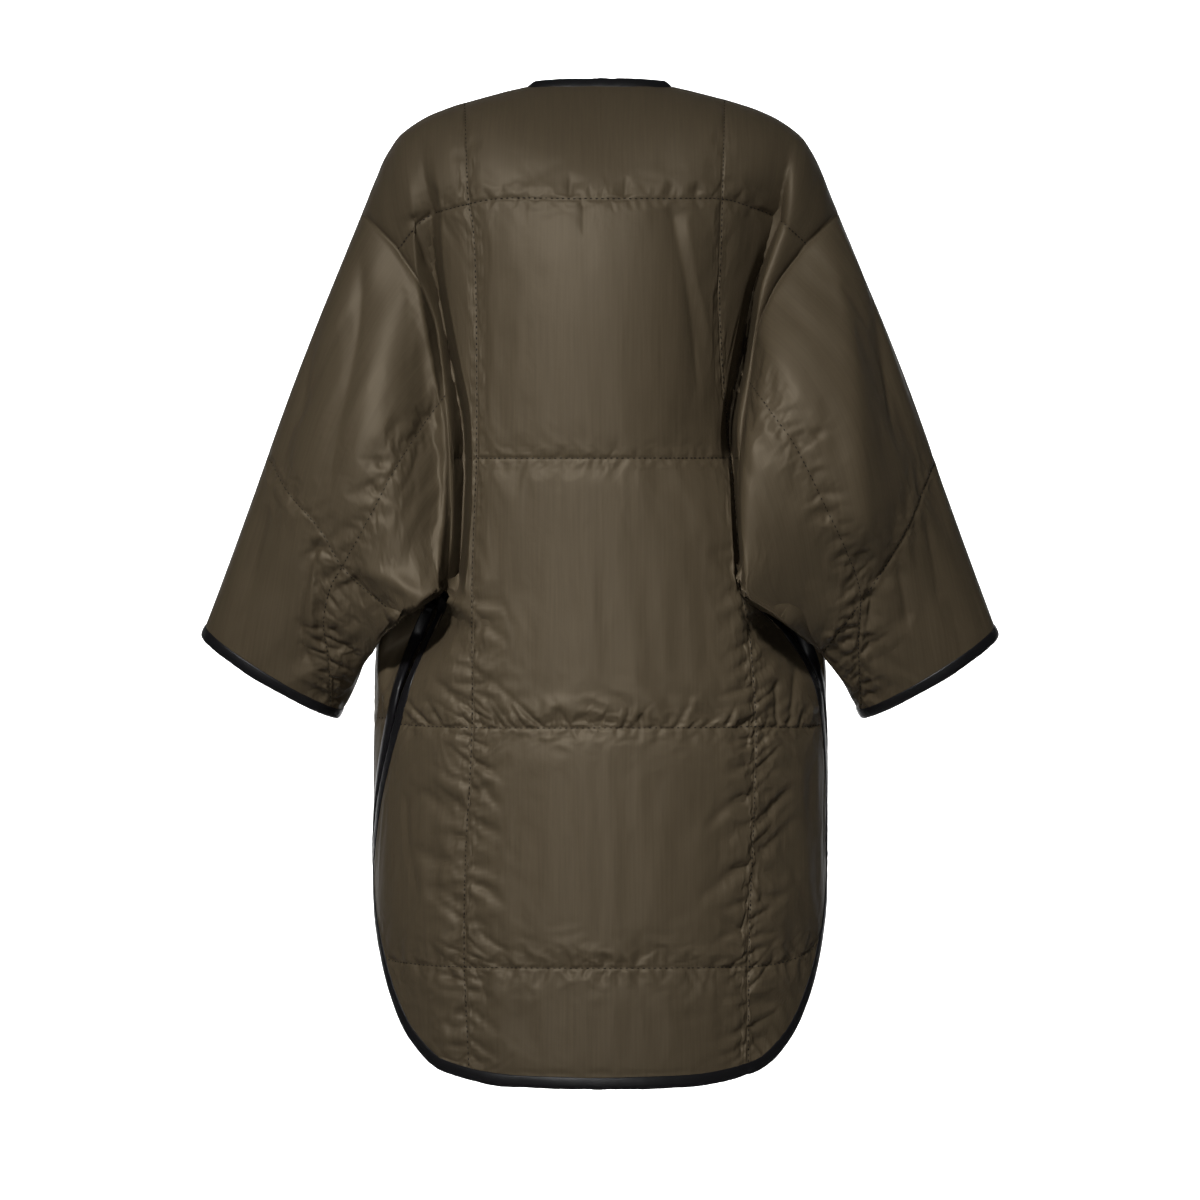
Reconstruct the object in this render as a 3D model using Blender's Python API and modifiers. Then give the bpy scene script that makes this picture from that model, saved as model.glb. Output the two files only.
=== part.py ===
"""Quilted coat in its worn, hollow form, with dropped sleeves, side slits and leather binding.

Metres, +Z up. The coat faces -Y, its back is at +Y and the wearer's left is +X.
The origin is on the middle plane, level with the high point of the shoulders at the neck.
"""

from collections import namedtuple

import bmesh
import bpy
import numpy as np

# Driving sizes
WALL = 0.003
SEAM_GAP = 0.0005
RIDGE_GAP = 0.0008
BINDING_WIDTH = 0.0095
BINDING_THICKNESS = 0.0055
NECK_HALF_WIDTH = 0.072
BACK_NECK_FALL = 0.12
FRONT_NECK_FALL = 0.82
NECK_ROUNDNESS = 2.6
YOKE_LEVEL = 0.121
UNDERARM_LEVEL = 0.500
SLIT_TOP_LEVEL = 0.512
SLIT_GAP = 0.0022
BACK_HEM_LEVEL = 0.977
FRONT_HEM_LEVEL = 0.955
FRONT_OPENING = 0.005
SIDE_SEAM_BLEND = 0.05
NECK_BINDING_GAP = 0.0015
NECK_BINDING_LEAN = 0.6
CUFF_HALF_HEIGHT = 0.0805
CUFF_HALF_DEPTH = 0.051
CUFF_MIDDLE = (0.3263, -0.004, -0.5813)
CUFF_TILT = 31.4
CUFF_BACK_DROP = 0.008
SLEEVE_SLANT = 20.9

# Coarseness of the cloth's facets
BODY_COLUMNS = 14
BODY_ROWS = 21
ROW_CROWDING = 1.6
NECK_ROW_SETTLING = 8
HEM_ROW_SETTLING = 3
FRONT_CORNER_COLUMNS = (0.015, 0.04)
SLEEVE_RINGS = 11
RING_CROWDING = 1.4
SLEEVE_START = 0.02
NECK_COLUMNS = 5
SLOPE_STEP = 0.02
FINE_STEPS = 240
UNDERARM_ROW_ROOM = 0.012

# A binding's folded section, as shares of its width (from the cloth outwards) and of its thickness
BINDING_SECTION = ((0.0, -0.40), (0.65, -0.50), (1.0, 0.0), (0.65, 0.50), (0.0, 0.40))

# How the shoulder cap rounds over, and how the yoke row droops onto the arm
CAP_ANGLE = np.radians(75)
CAP_ROUNDNESS_AT_NECK = 0.35
CAP_ROUND_FROM = 0.5
DROOP_POWER = 6

# The shoulder ridge seen from behind, from the middle of the neck to the dropped armhole
Ridge = namedtuple("Ridge", "out height")
SHOULDER = (
    Ridge(0.000, 0.011),
    Ridge(0.036, 0.0085),
    Ridge(0.072, 0.001),
    Ridge(0.108, -0.008),
    Ridge(0.168, -0.0275),
    Ridge(0.198, -0.047),
    Ridge(0.213, -0.067),
    Ridge(0.2235, -0.090),
    Ridge(0.238, -0.126),
)

# The body's level sections. Each is an ellipse that a panel follows from the middle to its edge,
# with fuller corners where square is under 1. left and right give the edge of the back as an angle
# in degrees from the middle: the armhole down to the underarm, then the slit. front is the fronts' armhole.
Section = namedtuple(
    "Section",
    "level half_left half_right back_depth front_depth square_left square_right left right front droop",
)
SECTIONS = (
    Section(0.121, 0.2250, 0.2250, 0.130, 0.112, 1.00, 1.00, 64.0, 64.0, 64, 0.042),
    Section(0.190, 0.2020, 0.2000, 0.146, 0.128, 1.00, 1.00, 59.0, 58.0, 59, 0.020),
    Section(0.250, 0.1950, 0.1910, 0.152, 0.138, 0.96, 1.00, 54.5, 53.5, 57, 0.004),
    Section(0.320, 0.1970, 0.1930, 0.154, 0.143, 0.92, 1.00, 48.5, 48.5, 57, 0.000),
    Section(0.390, 0.2030, 0.2000, 0.155, 0.146, 0.92, 1.00, 44.3, 43.6, 64, 0.000),
    Section(0.450, 0.2100, 0.2090, 0.156, 0.149, 0.94, 1.00, 43.0, 41.2, 84, 0.000),
    Section(0.500, 0.2170, 0.2170, 0.158, 0.152, 0.96, 1.00, 43.5, 44.0, 124, 0.000),
    Section(0.520, 0.2200, 0.2200, 0.159, 0.153, 0.97, 1.00, 47.5, 51.0, 122, 0.000),
    Section(0.550, 0.2235, 0.2235, 0.160, 0.154, 0.98, 1.00, 52.5, 62.0, 120, 0.000),
    Section(0.600, 0.2265, 0.2265, 0.162, 0.156, 1.00, 1.00, 60.0, 75.0, 112, 0.000),
    Section(0.640, 0.2265, 0.2265, 0.163, 0.157, 1.00, 1.00, 65.5, 81.5, 108, 0.000),
    Section(0.680, 0.2265, 0.2265, 0.164, 0.158, 1.00, 1.00, 72.0, 86.0, 102, 0.000),
    Section(0.740, 0.2265, 0.2265, 0.165, 0.158, 1.00, 1.00, 82.0, 89.0, 95, 0.000),
    Section(0.800, 0.2265, 0.2265, 0.165, 0.158, 1.00, 1.00, 90.0, 90.0, 90, 0.000),
    Section(1.000, 0.2265, 0.2265, 0.165, 0.158, 1.00, 1.00, 90.0, 90.0, 90, 0.000),
)

# The hem: how far it rises above its lowest line, from the middle (0) to the slit edge (1)
Hem = namedtuple("Hem", "across rise")
BACK_HEM = (
    Hem(0.00, 0.0000),
    Hem(0.25, 0.0015),
    Hem(0.48, 0.0125),
    Hem(0.62, 0.0390),
    Hem(0.74, 0.0790),
    Hem(0.84, 0.1210),
    Hem(0.93, 0.1600),
    Hem(1.00, 0.2050),
)
FRONT_CORNER = (Hem(0.00, 0.0550), Hem(0.04, 0.0200), Hem(0.12, 0.0030))
FRONT_HEM = FRONT_CORNER + BACK_HEM[1:-1] + (Hem(1.00, BACK_HEM[-1].rise - BACK_HEM_LEVEL + FRONT_HEM_LEVEL),)

# The way the sleeve cloth leaves the armhole, from the top of the arm (0) round the back
# to the underarm (0.5) and up the front to the top again (1), and the crevice it leaves beside the seam
Lead = namedtuple("Lead", "turn out_left out_right back_left back_right up reach crevice_left crevice_right")
LEADS = (
    Lead(0.00, 0.357, 0.357, 0.00, 0.00, -0.934, 0.16, 0.000, 0.000),
    Lead(0.08, 0.55, 0.55, 0.15, 0.15, -0.80, 0.15, 0.000, 0.000),
    Lead(0.16, 0.70, 0.55, 0.30, 0.45, -0.55, 0.14, 0.004, 0.002),
    Lead(0.24, 0.80, 0.15, 0.35, 0.80, -0.35, 0.13, 0.020, 0.002),
    Lead(0.34, 0.85, -0.20, 0.30, 0.85, -0.25, 0.12, 0.030, 0.000),
    Lead(0.42, 0.80, -0.10, 0.30, 0.80, -0.40, 0.11, 0.022, 0.000),
    Lead(0.50, 0.70, 0.40, 0.40, 0.55, -0.55, 0.10, 0.002, 0.000),
    Lead(0.58, 0.80, 0.75, 0.00, 0.00, -0.60, 0.09, 0.000, 0.000),
    Lead(0.68, 0.60, 0.60, -0.65, -0.65, -0.45, 0.11, 0.004, 0.004),
    Lead(0.80, 0.50, 0.50, -0.75, -0.75, -0.40, 0.13, 0.010, 0.010),
    Lead(0.90, 0.50, 0.50, -0.30, -0.30, -0.80, 0.15, 0.002, 0.002),
    Lead(1.00, 0.357, 0.357, 0.00, 0.00, -0.934, 0.16, 0.000, 0.000),
)
CREVICE_PLACE = 0.05
SLEEVE_CLEARANCE = 0.008
CLEAR_FROM_SHARE = 0.06
CLEAR_FROM_LEVEL = UNDERARM_LEVEL - 0.075
CLEAR_BY_LEVEL = UNDERARM_LEVEL - 0.025
CUFF_REACH = 0.15
CUFF_INNER_REACH = 0.11
CUFF_INNER_BACK = 0.05
CUFF_INNER_SLANT = 31.0
CUFF_SWELL = 0.020

# Colours and finishes
CLOTH_COLOUR = (0.080, 0.060, 0.038, 1.0)
LEATHER_COLOUR = (0.012, 0.011, 0.012, 1.0)
CLOTH_ROUGHNESS = 0.45
LEATHER_ROUGHNESS = 0.35


# Curves through short tables

def smooth(table, key, value, x):
    """Curve through one column of a table that doesn't swing past its rows."""
    xs = np.array([getattr(row, key) for row in table], float)
    ys = np.array([getattr(row, value) for row in table], float)
    steps = np.diff(xs)
    slopes = np.diff(ys) / steps
    tangents = np.concatenate([slopes[:1], np.zeros(len(slopes) - 1), slopes[-1:]])
    same_way = slopes[:-1] * slopes[1:] > 0
    inner = 2 * slopes[:-1] * slopes[1:] / np.where(same_way, slopes[:-1] + slopes[1:], 1)
    tangents[1:-1] = np.where(same_way, inner, 0)
    x = np.clip(x, xs[0], xs[-1])
    i = np.clip(np.searchsorted(xs, x, side="right") - 1, 0, len(steps) - 1)
    t = (x - xs[i]) / steps[i]
    rise = ys[i] * (1 + 2 * t) * (1 - t) ** 2 + ys[i + 1] * t**2 * (3 - 2 * t)
    bend = steps[i] * (tangents[i] * t * (1 - t) ** 2 - tangents[i + 1] * t**2 * (1 - t))
    return rise + bend


def ease(x, low, high):
    """0 below low, 1 above high, and smooth between."""
    t = np.clip((x - low) / (high - low), 0, 1)
    return t * t * (3 - 2 * t)


def section(value, level):
    return smooth(SECTIONS, "level", value, level)


def path_lengths(points):
    """Length along a path to each of its points."""
    return np.concatenate([[0], np.cumsum(np.linalg.norm(np.diff(points, axis=0), axis=1))])


def along(points, fractions):
    """Points at even fractions of a path's length."""
    lengths = path_lengths(points)
    wanted = np.asarray(fractions) * lengths[-1]
    return np.stack([np.interp(wanted, lengths, points[:, i]) for i in range(3)], axis=-1)


# The body's form

def shoulder_ridge(side, u):
    """The shoulder seam's line, in the plane y = 0, by fractions of its length."""
    out = np.linspace(0, SHOULDER[-1].out, FINE_STEPS)
    height = smooth(SHOULDER, "out", "height", out)
    line = np.stack([side * out, np.zeros_like(out), height], axis=-1)
    return along(line, u)


def side_name(side):
    return "left" if side > 0 else "right"


def half_width(side, level):
    return section("half_" + side_name(side), level)


def edge_angle(face, side, level):
    """Angle from the panel's middle to its edge, in radians: the armhole, then the slit."""
    back = np.radians(section(side_name(side), level))
    depth = section("back_depth", level)
    pace = np.hypot(half_width(side, level) * np.cos(back), depth * np.sin(back))
    swing = section(side_name(side), level + SLOPE_STEP) - section(side_name(side), level - SLOPE_STEP)
    slope = pace * np.radians(swing) / (2 * SLOPE_STEP)
    slit_edge = (BINDING_WIDTH + SEAM_GAP + SLIT_GAP / 2) * np.hypot(1, slope)
    apart = SEAM_GAP / 2 + slit_edge * ease(level, UNDERARM_LEVEL, SLIT_TOP_LEVEL)
    if face > 0:
        return back - apart / pace
    armhole = np.radians(section("front", level))
    slit = np.pi - back - apart / pace
    return armhole + (slit - armhole) * ease(level, UNDERARM_LEVEL - SIDE_SEAM_BLEND, UNDERARM_LEVEL)


def body_row(face, side, u, level):
    """Points of a level section, from the panel's middle (u = 0) to its edge (u = 1)."""
    angle = u * edge_angle(face, side, level)
    square = section("square_" + side_name(side), level)
    past_side = angle > np.pi / 2
    own_depth = section("back_depth" if face > 0 else "front_depth", level)
    other_depth = section("front_depth" if face > 0 else "back_depth", level)
    depth = np.where(past_side, -other_depth, own_depth)
    x = side * half_width(side, level) * np.sin(angle) ** square
    y = face * depth * np.abs(np.cos(angle)) ** square
    z = -level - section("droop", level) * u**DROOP_POWER
    return np.stack([x, y, z], axis=-1)


def shoulder_cap(face, side, u, level):
    """The cloth over the shoulder, rounding from the ridge to the yoke row."""
    t = (level / YOKE_LEVEL)[..., None]
    ridge = shoulder_ridge(side, u)
    yoke = body_row(face, side, u, np.full_like(level, YOKE_LEVEL))
    round_part = ease(u, 0, CAP_ROUND_FROM) * (1 - CAP_ROUNDNESS_AT_NECK) + CAP_ROUNDNESS_AT_NECK
    round_part = round_part[..., None]
    back = t + round_part * (np.sin(t * CAP_ANGLE) / np.sin(CAP_ANGLE) - t)
    down = t + round_part * ((1 - np.cos(t * CAP_ANGLE)) / (1 - np.cos(CAP_ANGLE)) - t)
    share = np.concatenate([down, back, down], axis=-1)
    return ridge + (yoke - ridge) * share


def body(face, side, u, level):
    """Outer face of the body's cloth. face is 1 on the back and -1 on the front."""
    u, level = np.broadcast_arrays(np.asarray(u, float), np.asarray(level, float))
    cap = shoulder_cap(face, side, u, np.minimum(level, YOKE_LEVEL))
    row = body_row(face, side, u, np.maximum(level, YOKE_LEVEL))
    return np.where((level < YOKE_LEVEL)[..., None], cap, row)


def neck_share():
    """Fraction of the shoulder ridge that the neck opening takes up."""
    u = np.linspace(0, 1, FINE_STEPS)
    return float(np.interp(NECK_HALF_WIDTH, shoulder_ridge(1, u)[:, 0], u))


def front_start(side, level):
    """Where a front begins beside the opening, as a fraction of its row."""
    level = np.maximum(level, YOKE_LEVEL)
    out = FRONT_OPENING / 2 + BINDING_WIDTH + SEAM_GAP
    square = section("square_" + side_name(side), level)
    share = (out / half_width(side, level)) ** (1 / square)
    return np.arcsin(share) / edge_angle(-1, side, level)


def panel_top(face, k):
    """Level at which a column of the panel starts: the neckline, then the shoulder seam."""
    fall = BACK_NECK_FALL if face > 0 else FRONT_NECK_FALL
    inside = np.clip(1 - (k / neck_share()) ** NECK_ROUNDNESS, 0, 1) ** (1 / NECK_ROUNDNESS)
    return np.maximum(fall * YOKE_LEVEL * inside, RIDGE_GAP)


def panel_bottom(face, k):
    """Level at which a column of the panel ends: the hem with its round corners."""
    if face > 0:
        return BACK_HEM_LEVEL - smooth(BACK_HEM, "across", "rise", k)
    return FRONT_HEM_LEVEL - smooth(FRONT_HEM, "across", "rise", k)


def panel_point(face, side, k, level):
    """Point of a panel by its column share k, which a front counts from its opening edge."""
    k, level = np.broadcast_arrays(np.asarray(k, float), np.asarray(level, float))
    if face > 0:
        return body(face, side, k, level)
    beside_opening = front_start(side, level) * np.clip(1 - k / neck_share(), 0, 1)
    return body(face, side, k + beside_opening, level)


# The sleeve's form

def armhole_half(face, side):
    """Levels and points of the armhole edge of a panel, from the shoulder to the underarm."""
    level = np.linspace(RIDGE_GAP, UNDERARM_LEVEL, FINE_STEPS)
    return level, body(face, side, np.ones_like(level), level)


def armhole(side, turn):
    """Armhole seam: from the top of the arm down the back to the underarm, and up the front."""
    behind = along(armhole_half(1, side)[1], np.clip(2 * turn, 0, 1))
    before = along(armhole_half(-1, side)[1], np.clip(2 - 2 * turn, 0, 1))
    return np.where((turn <= 0.5)[..., None], behind, before)


def cuff(side, turn):
    """Cuff line, an ellipse across the sleeve's lower end."""
    angle = 2 * np.pi * turn
    tilt = np.radians(CUFF_TILT)
    across = CUFF_HALF_HEIGHT * np.cos(angle)
    drop = CUFF_BACK_DROP * np.sin(angle)
    x = side * (CUFF_MIDDLE[0] + across * np.cos(tilt) + drop * np.sin(tilt))
    y = CUFF_MIDDLE[1] + CUFF_HALF_DEPTH * np.sin(angle)
    z = CUFF_MIDDLE[2] + across * np.sin(tilt) - drop * np.cos(tilt)
    return np.stack([x, y, z], axis=-1)


def sleeve_lead(side, turn):
    """First stretch of the sleeve's lengthwise line as it leaves the armhole."""
    out = smooth(LEADS, "turn", "out_" + side_name(side), turn)
    back = smooth(LEADS, "turn", "back_" + side_name(side), turn)
    up = smooth(LEADS, "turn", "up", turn)
    way = np.stack([side * out, back, up], axis=-1)
    reach = smooth(LEADS, "turn", "reach", turn)[..., None]
    return way / np.linalg.norm(way, axis=-1, keepdims=True) * reach


def cuff_lead(side, turn):
    """Last stretch of the sleeve's lengthwise line as it reaches the cuff."""
    angle = 2 * np.pi * turn
    inner = (1 - np.cos(angle)) / 2
    slant = np.radians(SLEEVE_SLANT + (CUFF_INNER_SLANT - SLEEVE_SLANT) * inner)
    reach = CUFF_REACH + (CUFF_INNER_REACH - CUFF_REACH) * inner
    x = side * reach * np.sin(slant)
    y = -CUFF_SWELL * np.sin(angle) - CUFF_INNER_BACK * inner
    z = -reach * np.cos(slant)
    return np.stack([x, y, z], axis=-1)


def crevice(side, turn, s):
    """How far the sleeve sinks towards the middle plane in the valley beside the armhole seam."""
    depth = smooth(LEADS, "turn", "crevice_" + side_name(side), turn)
    place = s / CREVICE_PLACE
    return depth * place * np.exp(1 - place)


def clear_of_body(side, points, s):
    """Moves the sleeve's underside out until it hangs just clear of the body below the underarm."""
    x, y = points[..., 0], points[..., 1]
    level = -points[..., 2]
    room = SLEEVE_CLEARANCE * ease(s, 0, CLEAR_FROM_SHARE)
    depth = np.where(y > 0, section("back_depth", level), section("front_depth", level))
    share = np.hypot(x / (half_width(side, level) + room), y / (depth + room))
    below = ease(level, CLEAR_FROM_LEVEL, CLEAR_BY_LEVEL)
    push = 1 + below * (np.maximum(1 / share, 1) - 1)
    points[..., 0] *= push
    points[..., 1] *= push


def sleeve(side, turn, s):
    """Outer face of a sleeve, from the armhole (s = 0) to the cuff (s = 1)."""
    turn, s = np.broadcast_arrays(np.asarray(turn, float), np.asarray(s, float))
    start = armhole(side, turn)
    end = cuff(side, turn)
    handle_1 = start + sleeve_lead(side, turn)
    handle_2 = end - cuff_lead(side, turn)
    t = s[..., None]
    early = start * (1 - t) ** 3 + handle_1 * 3 * t * (1 - t) ** 2
    late = handle_2 * 3 * t**2 * (1 - t) + end * t**3
    points = early + late
    points[..., 1] -= np.where(turn < 0.5, 1, -1) * crevice(side, turn, s)
    clear_of_body(side, points, s)
    return points


# Making solids

def material(name, colour, roughness):
    """Principled material of a slot."""
    made = bpy.data.materials.new(name)
    made.use_nodes = True
    shader = made.node_tree.nodes["Principled BSDF"]
    shader.inputs["Base Color"].default_value = colour
    shader.inputs["Roughness"].default_value = roughness
    shader.inputs["Metallic"].default_value = 0.0
    return made


def add_object(collection, name, points, faces, finish):
    mesh = bpy.data.meshes.new(name)
    mesh.from_pydata([tuple(p) for p in points], [], faces)
    mesh.shade_smooth()
    mesh.materials.append(finish)
    made = bpy.data.objects.new(name, mesh)
    collection.objects.link(made)
    return made


def grid_faces(rows, columns, closed, flip):
    """Quads of a grid of points, with its last column joined to the first where closed."""
    faces = []
    for i in range(rows - 1):
        for j in range(columns if closed else columns - 1):
            after = (j + 1) % columns
            quad = (i * columns + j, i * columns + after, (i + 1) * columns + after, (i + 1) * columns + j)
            faces.append(quad[::-1] if flip else quad)
    return faces


def cloth(collection, name, grid, closed, flip, finish):
    """A panel: an open sheet of points, thickened inwards from its outer face."""
    rows, columns = grid.shape[:2]
    faces = grid_faces(rows, columns, closed, flip)
    made = add_object(collection, name, grid.reshape(-1, 3), faces, finish)
    wall = made.modifiers.new("wall", "SOLIDIFY")
    wall.thickness = WALL
    wall.offset = -1
    return made


def half_columns(face):
    """Column shares of half a panel: close together towards the side of the neck."""
    neck = neck_share()
    inside = neck * np.sin(np.linspace(0, np.pi / 2, NECK_COLUMNS))
    outside = np.linspace(neck, 1, BODY_COLUMNS - NECK_COLUMNS + 2)[1:]
    corner = [] if face > 0 else FRONT_CORNER_COLUMNS
    return np.sort(np.concatenate([inside, outside, corner]))


def row_levels(face, k):
    """Levels of a panel's rows in each of its columns."""
    r = np.linspace(0, 1, BODY_ROWS)[:, None]
    down = r**ROW_CROWDING
    rise = BACK_HEM_LEVEL - panel_bottom(face, k)
    settled = BACK_HEM_LEVEL * down - rise * down**HEM_ROW_SETTLING
    return settled + panel_top(face, k) * (1 - down) ** NECK_ROW_SETTLING


def panel_grid(face, side):
    """Points of half a panel, one column from the neck or shoulder to the hem for each share."""
    k = half_columns(face)[None, :]
    return panel_point(face, side, k, row_levels(face, k))


def armhole_turns(side):
    """Places round the armhole that line up with the rows of the back and of the front."""
    turns = []
    for face in (1, -1):
        level, edge = armhole_half(face, side)
        length = path_lengths(edge)
        rows = row_levels(face, np.ones((1, 1)))[:, 0]
        rows = rows[rows < UNDERARM_LEVEL - UNDERARM_ROW_ROOM]
        turns.append(np.interp(rows, level, length / length[-1]) / 2)
    return np.concatenate([turns[0], [0.5], 1 - turns[1][:0:-1]])


def back_grid():
    """Points of the whole back, from its right edge to its left edge."""
    left = panel_grid(1, 1)
    right = panel_grid(1, -1)
    return np.concatenate([right[:, :0:-1], left], axis=1)


def make_back(collection, finish):
    return cloth(collection, "back", back_grid(), False, False, finish)


def make_front(collection, side, finish):
    return cloth(collection, "front_" + side_name(side), panel_grid(-1, side), False, side > 0, finish)


def sleeve_grid(side):
    """Points of a sleeve, ring by ring from the armhole to the cuff."""
    s = np.linspace(SLEEVE_START, 1, SLEEVE_RINGS)[:, None] ** RING_CROWDING
    return sleeve(side, armhole_turns(side)[None, :], s)


def make_sleeve(collection, side, finish):
    return cloth(collection, "sleeve_" + side_name(side), sleeve_grid(side), True, side > 0, finish)


def unit(vectors):
    return vectors / np.linalg.norm(vectors, axis=-1, keepdims=True)


def outward(grid, closed, flip):
    """Directions in which a panel's points face."""
    down = np.gradient(grid, axis=0)
    across = np.gradient(grid, axis=1)
    if closed:
        across = np.roll(grid, -1, axis=1) - np.roll(grid, 1, axis=1)
    facing = unit(np.cross(across, down))
    return -facing if flip else facing


def binding(collection, name, edge, closed, gap, lean, finish):
    """A folded leather strip along an edge, given as rows of edge point, point further in, and facing."""
    points, inside, facing = (np.array([row[i] for row in edge]) for i in range(3))
    way = np.gradient(points, axis=0)
    if closed:
        way = np.roll(points, -1, axis=0) - np.roll(points, 1, axis=0)
    way = unit(way)
    out = unit(np.cross(way, facing))
    out *= np.sign(np.sum(out * (points - inside)))
    out = out + lean * np.array([0, 0, 1])
    out = unit(out - np.sum(out * way, axis=-1, keepdims=True) * way)
    across = np.cross(way, out)
    middle = points - facing * WALL / 2
    rings = []
    for width, thickness in BINDING_SECTION:
        rings.append(middle + out * (gap + BINDING_WIDTH * width) + across * BINDING_THICKNESS * thickness)
    grid = np.stack(rings, axis=0 if closed else 1)
    if closed:
        faces = grid_faces(len(BINDING_SECTION), len(points), True, False)
        last = (len(BINDING_SECTION) - 1) * len(points)
        for j in range(len(points)):
            after = (j + 1) % len(points)
            faces.append((last + j, last + after, after, j))
    else:
        faces = grid_faces(len(points), len(BINDING_SECTION), True, False)
        count = len(BINDING_SECTION)
        faces.append(tuple(range(count))[::-1])
        faces.append(tuple(range((len(points) - 1) * count, len(points) * count)))
    made = add_object(collection, name, grid.reshape(-1, 3), faces, finish)
    shape = bmesh.new()
    shape.from_mesh(made.data)
    bmesh.ops.recalc_face_normals(shape, faces=shape.faces)
    shape.to_mesh(made.data)
    shape.free()
    return made


def edge_rows(grid, facing, places, step):
    """Rows for a binding at grid places, with the point further in found by a step in rows and columns."""
    rows = []
    for i, j in places:
        rows.append((grid[i, j], grid[i + step[0], j + step[1]], facing[i, j]))
    return rows


def slit_row(face):
    """First row of a panel below the top of the slit."""
    return int(np.argmax(row_levels(face, np.ones((1, 1)))[:, 0] > SLIT_TOP_LEVEL))


def make_back_binding(collection, finish):
    grid = back_grid()
    facing = outward(grid, False, False)
    last, right = grid.shape[0] - 1, grid.shape[1] - 1
    top = slit_row(1)
    edge = edge_rows(grid, facing, [(i, right) for i in range(top, last)], (0, -1))
    edge += edge_rows(grid, facing, [(last, j) for j in range(right, -1, -1)], (-1, 0))
    edge += edge_rows(grid, facing, [(i, 0) for i in range(last - 1, top - 1, -1)], (0, 1))
    return binding(collection, "back_binding", edge, False, SEAM_GAP, 0, finish)


def make_front_binding(collection, side, finish):
    grid = panel_grid(-1, side)
    facing = outward(grid, False, side > 0)
    last, outer = grid.shape[0] - 1, grid.shape[1] - 1
    edge = edge_rows(grid, facing, [(i, 0) for i in range(last)], (0, 1))
    edge += edge_rows(grid, facing, [(last, j) for j in range(outer + 1)], (-1, 0))
    edge += edge_rows(grid, facing, [(i, outer) for i in range(last - 1, slit_row(-1) - 1, -1)], (0, -1))
    return binding(collection, "front_binding_" + side_name(side), edge, False, SEAM_GAP, 0, finish)


def neck_edge(face, side):
    """Rows for the neck binding on half a panel, from the middle to the shoulder seam."""
    grid = panel_grid(face, side)
    facing = outward(grid, False, (face > 0) != (side > 0))
    count = int(np.searchsorted(half_columns(face), neck_share() - SEAM_GAP)) + 1
    return edge_rows(grid, facing, [(0, j) for j in range(count)], (1, 0))


def make_neck_binding(collection, finish):
    edge = []
    for side in (1, -1):
        front = neck_edge(-1, side)
        back = neck_edge(1, side)
        shoulder = tuple((a + b) / 2 for a, b in zip(front[-1], back[-1]))
        beyond = unit(front[0][0] - front[1][0]) * (BINDING_WIDTH + SEAM_GAP)
        end = (front[0][0] + beyond, front[0][1] + beyond, front[0][2])
        half = [end] + front[:-1] + [shoulder] + back[-2::-1]
        edge += half if side > 0 else half[-2::-1]
    return binding(collection, "neck_binding", edge, False, NECK_BINDING_GAP, NECK_BINDING_LEAN, finish)


def make_cuff_binding(collection, side, finish):
    grid = sleeve_grid(side)
    facing = outward(grid, True, side > 0)
    last = grid.shape[0] - 1
    edge = edge_rows(grid, facing, [(last, j) for j in range(grid.shape[1])], (-1, 0))
    return binding(collection, "cuff_binding_" + side_name(side), edge, True, SEAM_GAP, 0, finish)


def main():
    for old in list(bpy.data.objects):
        bpy.data.objects.remove(old)
    collection = bpy.data.collections.new("quilted_coat")
    bpy.context.scene.collection.children.link(collection)
    nylon = material("quilted_nylon", CLOTH_COLOUR, CLOTH_ROUGHNESS)
    leather = material("binding_leather", LEATHER_COLOUR, LEATHER_ROUGHNESS)
    make_back(collection, nylon)
    make_back_binding(collection, leather)
    make_neck_binding(collection, leather)
    for side in (1, -1):
        make_front(collection, side, nylon)
        make_front_binding(collection, side, leather)
        make_sleeve(collection, side, nylon)
        make_cuff_binding(collection, side, leather)


main()
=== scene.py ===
"""Looks of the quilted coat: wadded nylon panels with their stitching and creases, and leather binding.

Metres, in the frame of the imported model. The coat is seen from behind, from +Y.
"""

from collections import namedtuple

import bpy
import numpy as np
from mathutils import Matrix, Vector
from mathutils.bvhtree import BVHTree


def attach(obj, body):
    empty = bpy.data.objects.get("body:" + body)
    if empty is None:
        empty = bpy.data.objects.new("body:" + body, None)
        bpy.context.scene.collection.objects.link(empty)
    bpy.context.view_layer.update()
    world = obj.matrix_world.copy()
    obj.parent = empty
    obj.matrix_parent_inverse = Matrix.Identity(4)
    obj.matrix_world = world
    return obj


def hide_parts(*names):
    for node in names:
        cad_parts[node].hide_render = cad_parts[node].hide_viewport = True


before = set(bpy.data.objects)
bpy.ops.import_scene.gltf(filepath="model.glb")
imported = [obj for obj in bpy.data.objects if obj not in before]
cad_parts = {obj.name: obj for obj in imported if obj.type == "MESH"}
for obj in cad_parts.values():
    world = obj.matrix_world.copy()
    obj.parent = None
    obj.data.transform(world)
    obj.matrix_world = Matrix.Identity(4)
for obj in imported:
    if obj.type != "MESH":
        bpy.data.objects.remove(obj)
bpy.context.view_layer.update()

# The view: how far the camera stands behind the coat, and how high
VIEW_DISTANCE = 5.0
VIEW_HEIGHT = -0.513
VIEW_LENS = 150
SENSOR = 36
FLOOR_LEVEL = -1.45

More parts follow.
